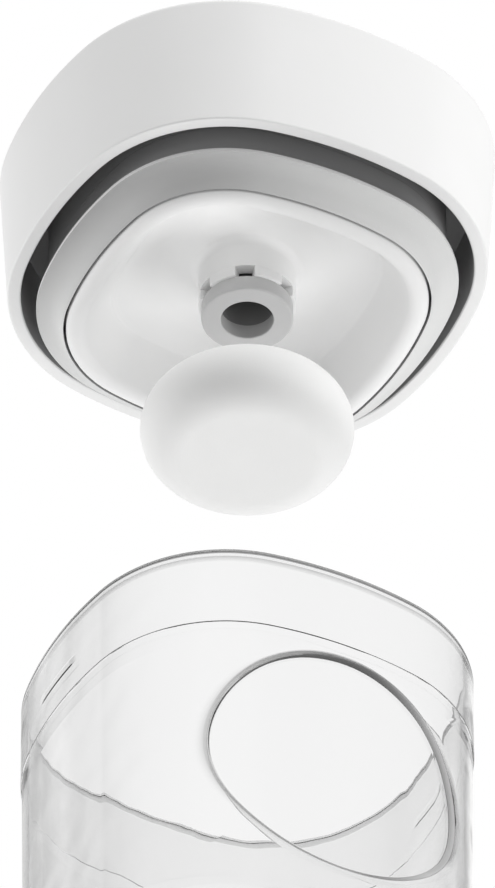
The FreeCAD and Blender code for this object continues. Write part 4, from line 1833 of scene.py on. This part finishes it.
@dataclass(frozen=True)
class Card:
    """A soft-edged grey card, which only the clear wall and gloss can show.

    tone is how much of the light behind it stays, shift moves it along its own width and height, and turn
    is in degrees to the picture's right of the camera.
    """

    name: str
    tone: float
    width: float
    height: float
    fade: float = 0.35
    shift: Point = (0.0, 0.0)
    turn: float = 0.0

    def build(self, middle: Vector, across: Vector, upward: Vector) -> bpy.types.Object:
        """Hang the card.

        Args:
            middle: Its middle before the shift.
            across: Direction of its width.
            upward: Direction of its height.

        Returns:
            The card.
        """
        material, wiring = new_material(self.name)
        parts = wiring.node("ShaderNodeSeparateXYZ", inputs={0: wiring.own_place()})
        covers = []
        for axis, size in (("X", self.width), ("Y", self.height)):
            inward = size / 2 - wiring.value(parts, axis).distance()
            covers.append(wiring.ramp(inward, (0.0, self.fade), kind="SMOOTHSTEP"))
        clear = wiring.node("ShaderNodeBsdfTransparent")
        shade = wiring.node("ShaderNodeBsdfTransparent", inputs={"Color": grey(self.tone)})
        wiring.output(wiring.mix(covers[0] * covers[1], clear, shade))
        card = flat_sheet(self.name, self.width, self.height, material)
        turned = Matrix((across, upward, across.cross(upward))).transposed().to_4x4()
        place_at = middle + across * self.shift[0] + upward * self.shift[1]
        card.matrix_world = Matrix.Translation(place_at) @ turned
        card.visible_camera = False
        card.visible_diffuse = False
        card.visible_shadow = False
        return card


@dataclass
class Studio:
    """The pale floor, the soft lamps, the grey cards, the white surround and the camera."""

    azimuth: float = math.radians(-27.31)
    elevation: float = math.radians(-42.85)
    distance: float = 5.0
    pixels_per_metre: float = 4358.166
    aim_height: float = 0.109
    aim_right: float = 0.00006
    aim_up: float = 0.05909
    sensor: float = 36.0
    clip_start: float = 0.1
    clip_end: float = 50.0
    surround_light: float = 0.48
    floor_radius: float = 1.1
    floor_fade: float = 0.25
    floor_tone: float = 0.9
    lamp_aim: float = 0.15
    lamp_distance: float = 1.8
    lamp_size: float = 1.2
    lamps: tuple[SoftLamp, ...] = (
        SoftLamp("right_lamp", 40.0, 44.0, 24.5),
        SoftLamp("left_lamp", -98.0, 12.0, 17.0),
        SoftLamp("low_right_lamp", 112.0, -34.0, 18.5),
        SoftLamp("low_left_lamp", -150.0, -36.0, 12.0),
        SoftLamp("front_lamp", 10.0, -50.0, 3.0),
    )
    card_aim: float = 0.06
    card_distance: float = 1.2
    back_cards: tuple[Card, ...] = (
        Card("right_flag", 0.52, 0.9, 1.54, shift=(0.77, 0.0)),
        Card("left_flag", 0.62, 0.9, 1.54, shift=(-0.77, 0.0)),
        Card("left_veil", 0.7, 0.8, 1.4, fade=0.16, shift=(-0.42, 0.0)),
        Card("high_flag", 0.05, 0.64, 0.9, shift=(0.0, 0.77)),
    )
    front_cards: tuple[Card, ...] = (
        Card("front_flag", 0.2, 2.0, 1.6),
        Card("front_right_flag", 0.2, 2.0, 1.6, turn=70.0),
        Card("front_left_flag", 0.0, 2.0, 1.6, turn=-70.0),
    )

    def toward(self, turn: float, elevation: float) -> Vector:
        """A direction from the object.

        Args:
            turn: Degrees to the picture's right of the camera, seen from above.
            elevation: Angle above the horizon, in radians.

        Returns:
            The direction.
        """
        angle = self.azimuth + math.radians(turn)
        level = math.cos(elevation)
        return Vector((math.sin(angle) * level, -math.cos(angle) * level, math.sin(elevation)))

    @property
    def back(self) -> Vector:
        """Direction from the object to the camera."""
        return self.toward(0.0, self.elevation)

    def axes(self) -> tuple[Vector, Vector]:
        """The picture's right and up directions."""
        right = (-self.back).cross(Vector((0.0, 0.0, 1.0))).normalized()
        return right, right.cross(-self.back).normalized()

    def build_camera(self) -> None:
        """Aim a long lens at the object from below, as in the photograph."""
        right, up = self.axes()
        aim = Vector((0.0, 0.0, self.aim_height)) + right * self.aim_right + up * self.aim_up
        data = bpy.data.cameras.new("camera")
        data.sensor_width = self.sensor
        data.lens = self.pixels_per_metre * self.distance / IMAGE_HEIGHT * self.sensor
        data.clip_start = self.clip_start
        data.clip_end = self.clip_end
        camera = add_object("camera", data)
        camera.location = aim + self.back * self.distance
        look(camera, -self.back)
        bpy.context.scene.camera = camera

    def build_world(self) -> None:
        """Build a surround that looks white and lights the object at a plain level."""
        world = bpy.data.worlds.new("surround")
        world.use_nodes = True
        wiring = Wiring(world.node_tree)
        seen = wiring.ray("Is Camera Ray").greatest(wiring.ray("Is Glossy Ray"))
        seen = seen.greatest(wiring.ray("Is Transmission Ray"))
        strength = self.surround_light + (1.0 - self.surround_light) * seen
        background = wiring.node("ShaderNodeBackground", inputs={"Color": grey(1.0), "Strength": strength})
        wiring.node("ShaderNodeOutputWorld", inputs={"Surface": background})
        bpy.context.scene.world = world

    def build_floor(self) -> None:
        """Build a pale floor that holds the shadow and lets the view and light through from below."""
        material, wiring = new_material("pale_floor")
        length = wiring.node("ShaderNodeVectorMath", {"operation": "LENGTH"}, {0: wiring.own_place()})
        faded = wiring.ramp(wiring.value(length, 1), (self.floor_fade, self.floor_radius))
        gone = wiring.value(wiring.node("ShaderNodeNewGeometry"), "Backfacing").greatest(faded)
        for kind in ("Is Shadow Ray", "Is Glossy Ray", "Is Transmission Ray"):
            gone = gone.greatest(wiring.ray(kind))
        pale = wiring.node("ShaderNodeBsdfDiffuse", inputs={"Color": grey(self.floor_tone)})
        wiring.output(wiring.mix(gone, pale, wiring.node("ShaderNodeBsdfTransparent")))
        floor = flat_sheet("floor", 2 * self.floor_radius, 2 * self.floor_radius, material)
        floor.visible_diffuse = False

    def build_lamps(self) -> None:
        """Hang the lamps: the main one high on the picture's right, the others lower and round the sides."""
        aim = Vector((0.0, 0.0, self.lamp_aim))
        for lamp in self.lamps:
            data = bpy.data.lights.new(lamp.name, "AREA")
            data.shape = "SQUARE"
            data.size = self.lamp_size
            data.energy = lamp.watts
            light = add_object(lamp.name, data)
            light.visible_glossy = False
            light.visible_transmission = False
            place_at = aim + self.toward(lamp.turn, math.radians(lamp.rise)) * self.lamp_distance
            light.location = place_at
            look(light, aim - place_at)

    def build_cards(self) -> None:
        """Hang cards behind the object, so that the clear wall's edges show, and in front for its gloss."""
        right, up = self.axes()
        middle = Vector((0.0, 0.0, self.card_aim))
        for card in self.back_cards:
            card.build(middle - self.back * self.card_distance, right, up)
        for card in self.front_cards:
            toward = self.toward(card.turn, -self.elevation)
            across = Vector((0.0, 0.0, 1.0)).cross(toward).normalized()
            hung = card.build(middle + toward * self.card_distance, across, toward.cross(across))
            hung.visible_transmission = False

    def build(self) -> None:
        """Build the whole studio and set the picture's plain tones."""
        self.build_camera()
        self.build_world()
        self.build_floor()
        self.build_lamps()
        self.build_cards()
        bpy.context.scene.view_settings.view_transform = "Standard"


def main() -> None:
    """Build the object, piece by piece, and the studio around it."""
    logging.basicConfig(level=logging.INFO, format="%(name)s: %(message)s")
    copies = RingOfCopies()
    white = WHITE_PLASTIC.material()
    # channel is the painted shade for the deep, shaded places of the lid and the seal.
    channel = CHANNEL_SHADE_PAINT.material()
    seal = SEAL_SILICONE.material()
    Tub().build()
    lid = Lid(white, channel, copies)
    lid.build_shell()
    lid.build_liner()
    lid.build_posts()
    lid.build_vent_plate()
    LipSeal(seal, channel, LIP_HIGHLIGHT_PAINT.material()).build()
    fittings = DuctFittings(COLLAR_PLASTIC.material(), seal, DEEP_SHADE.material(), copies)
    fittings.build_collar()
    fittings.build_duct_seal()
    fittings.build_valve()
    SplashCap(CAP_SILICONE.material()).build()
    Studio().build()


if __name__ == "__main__":
    main()
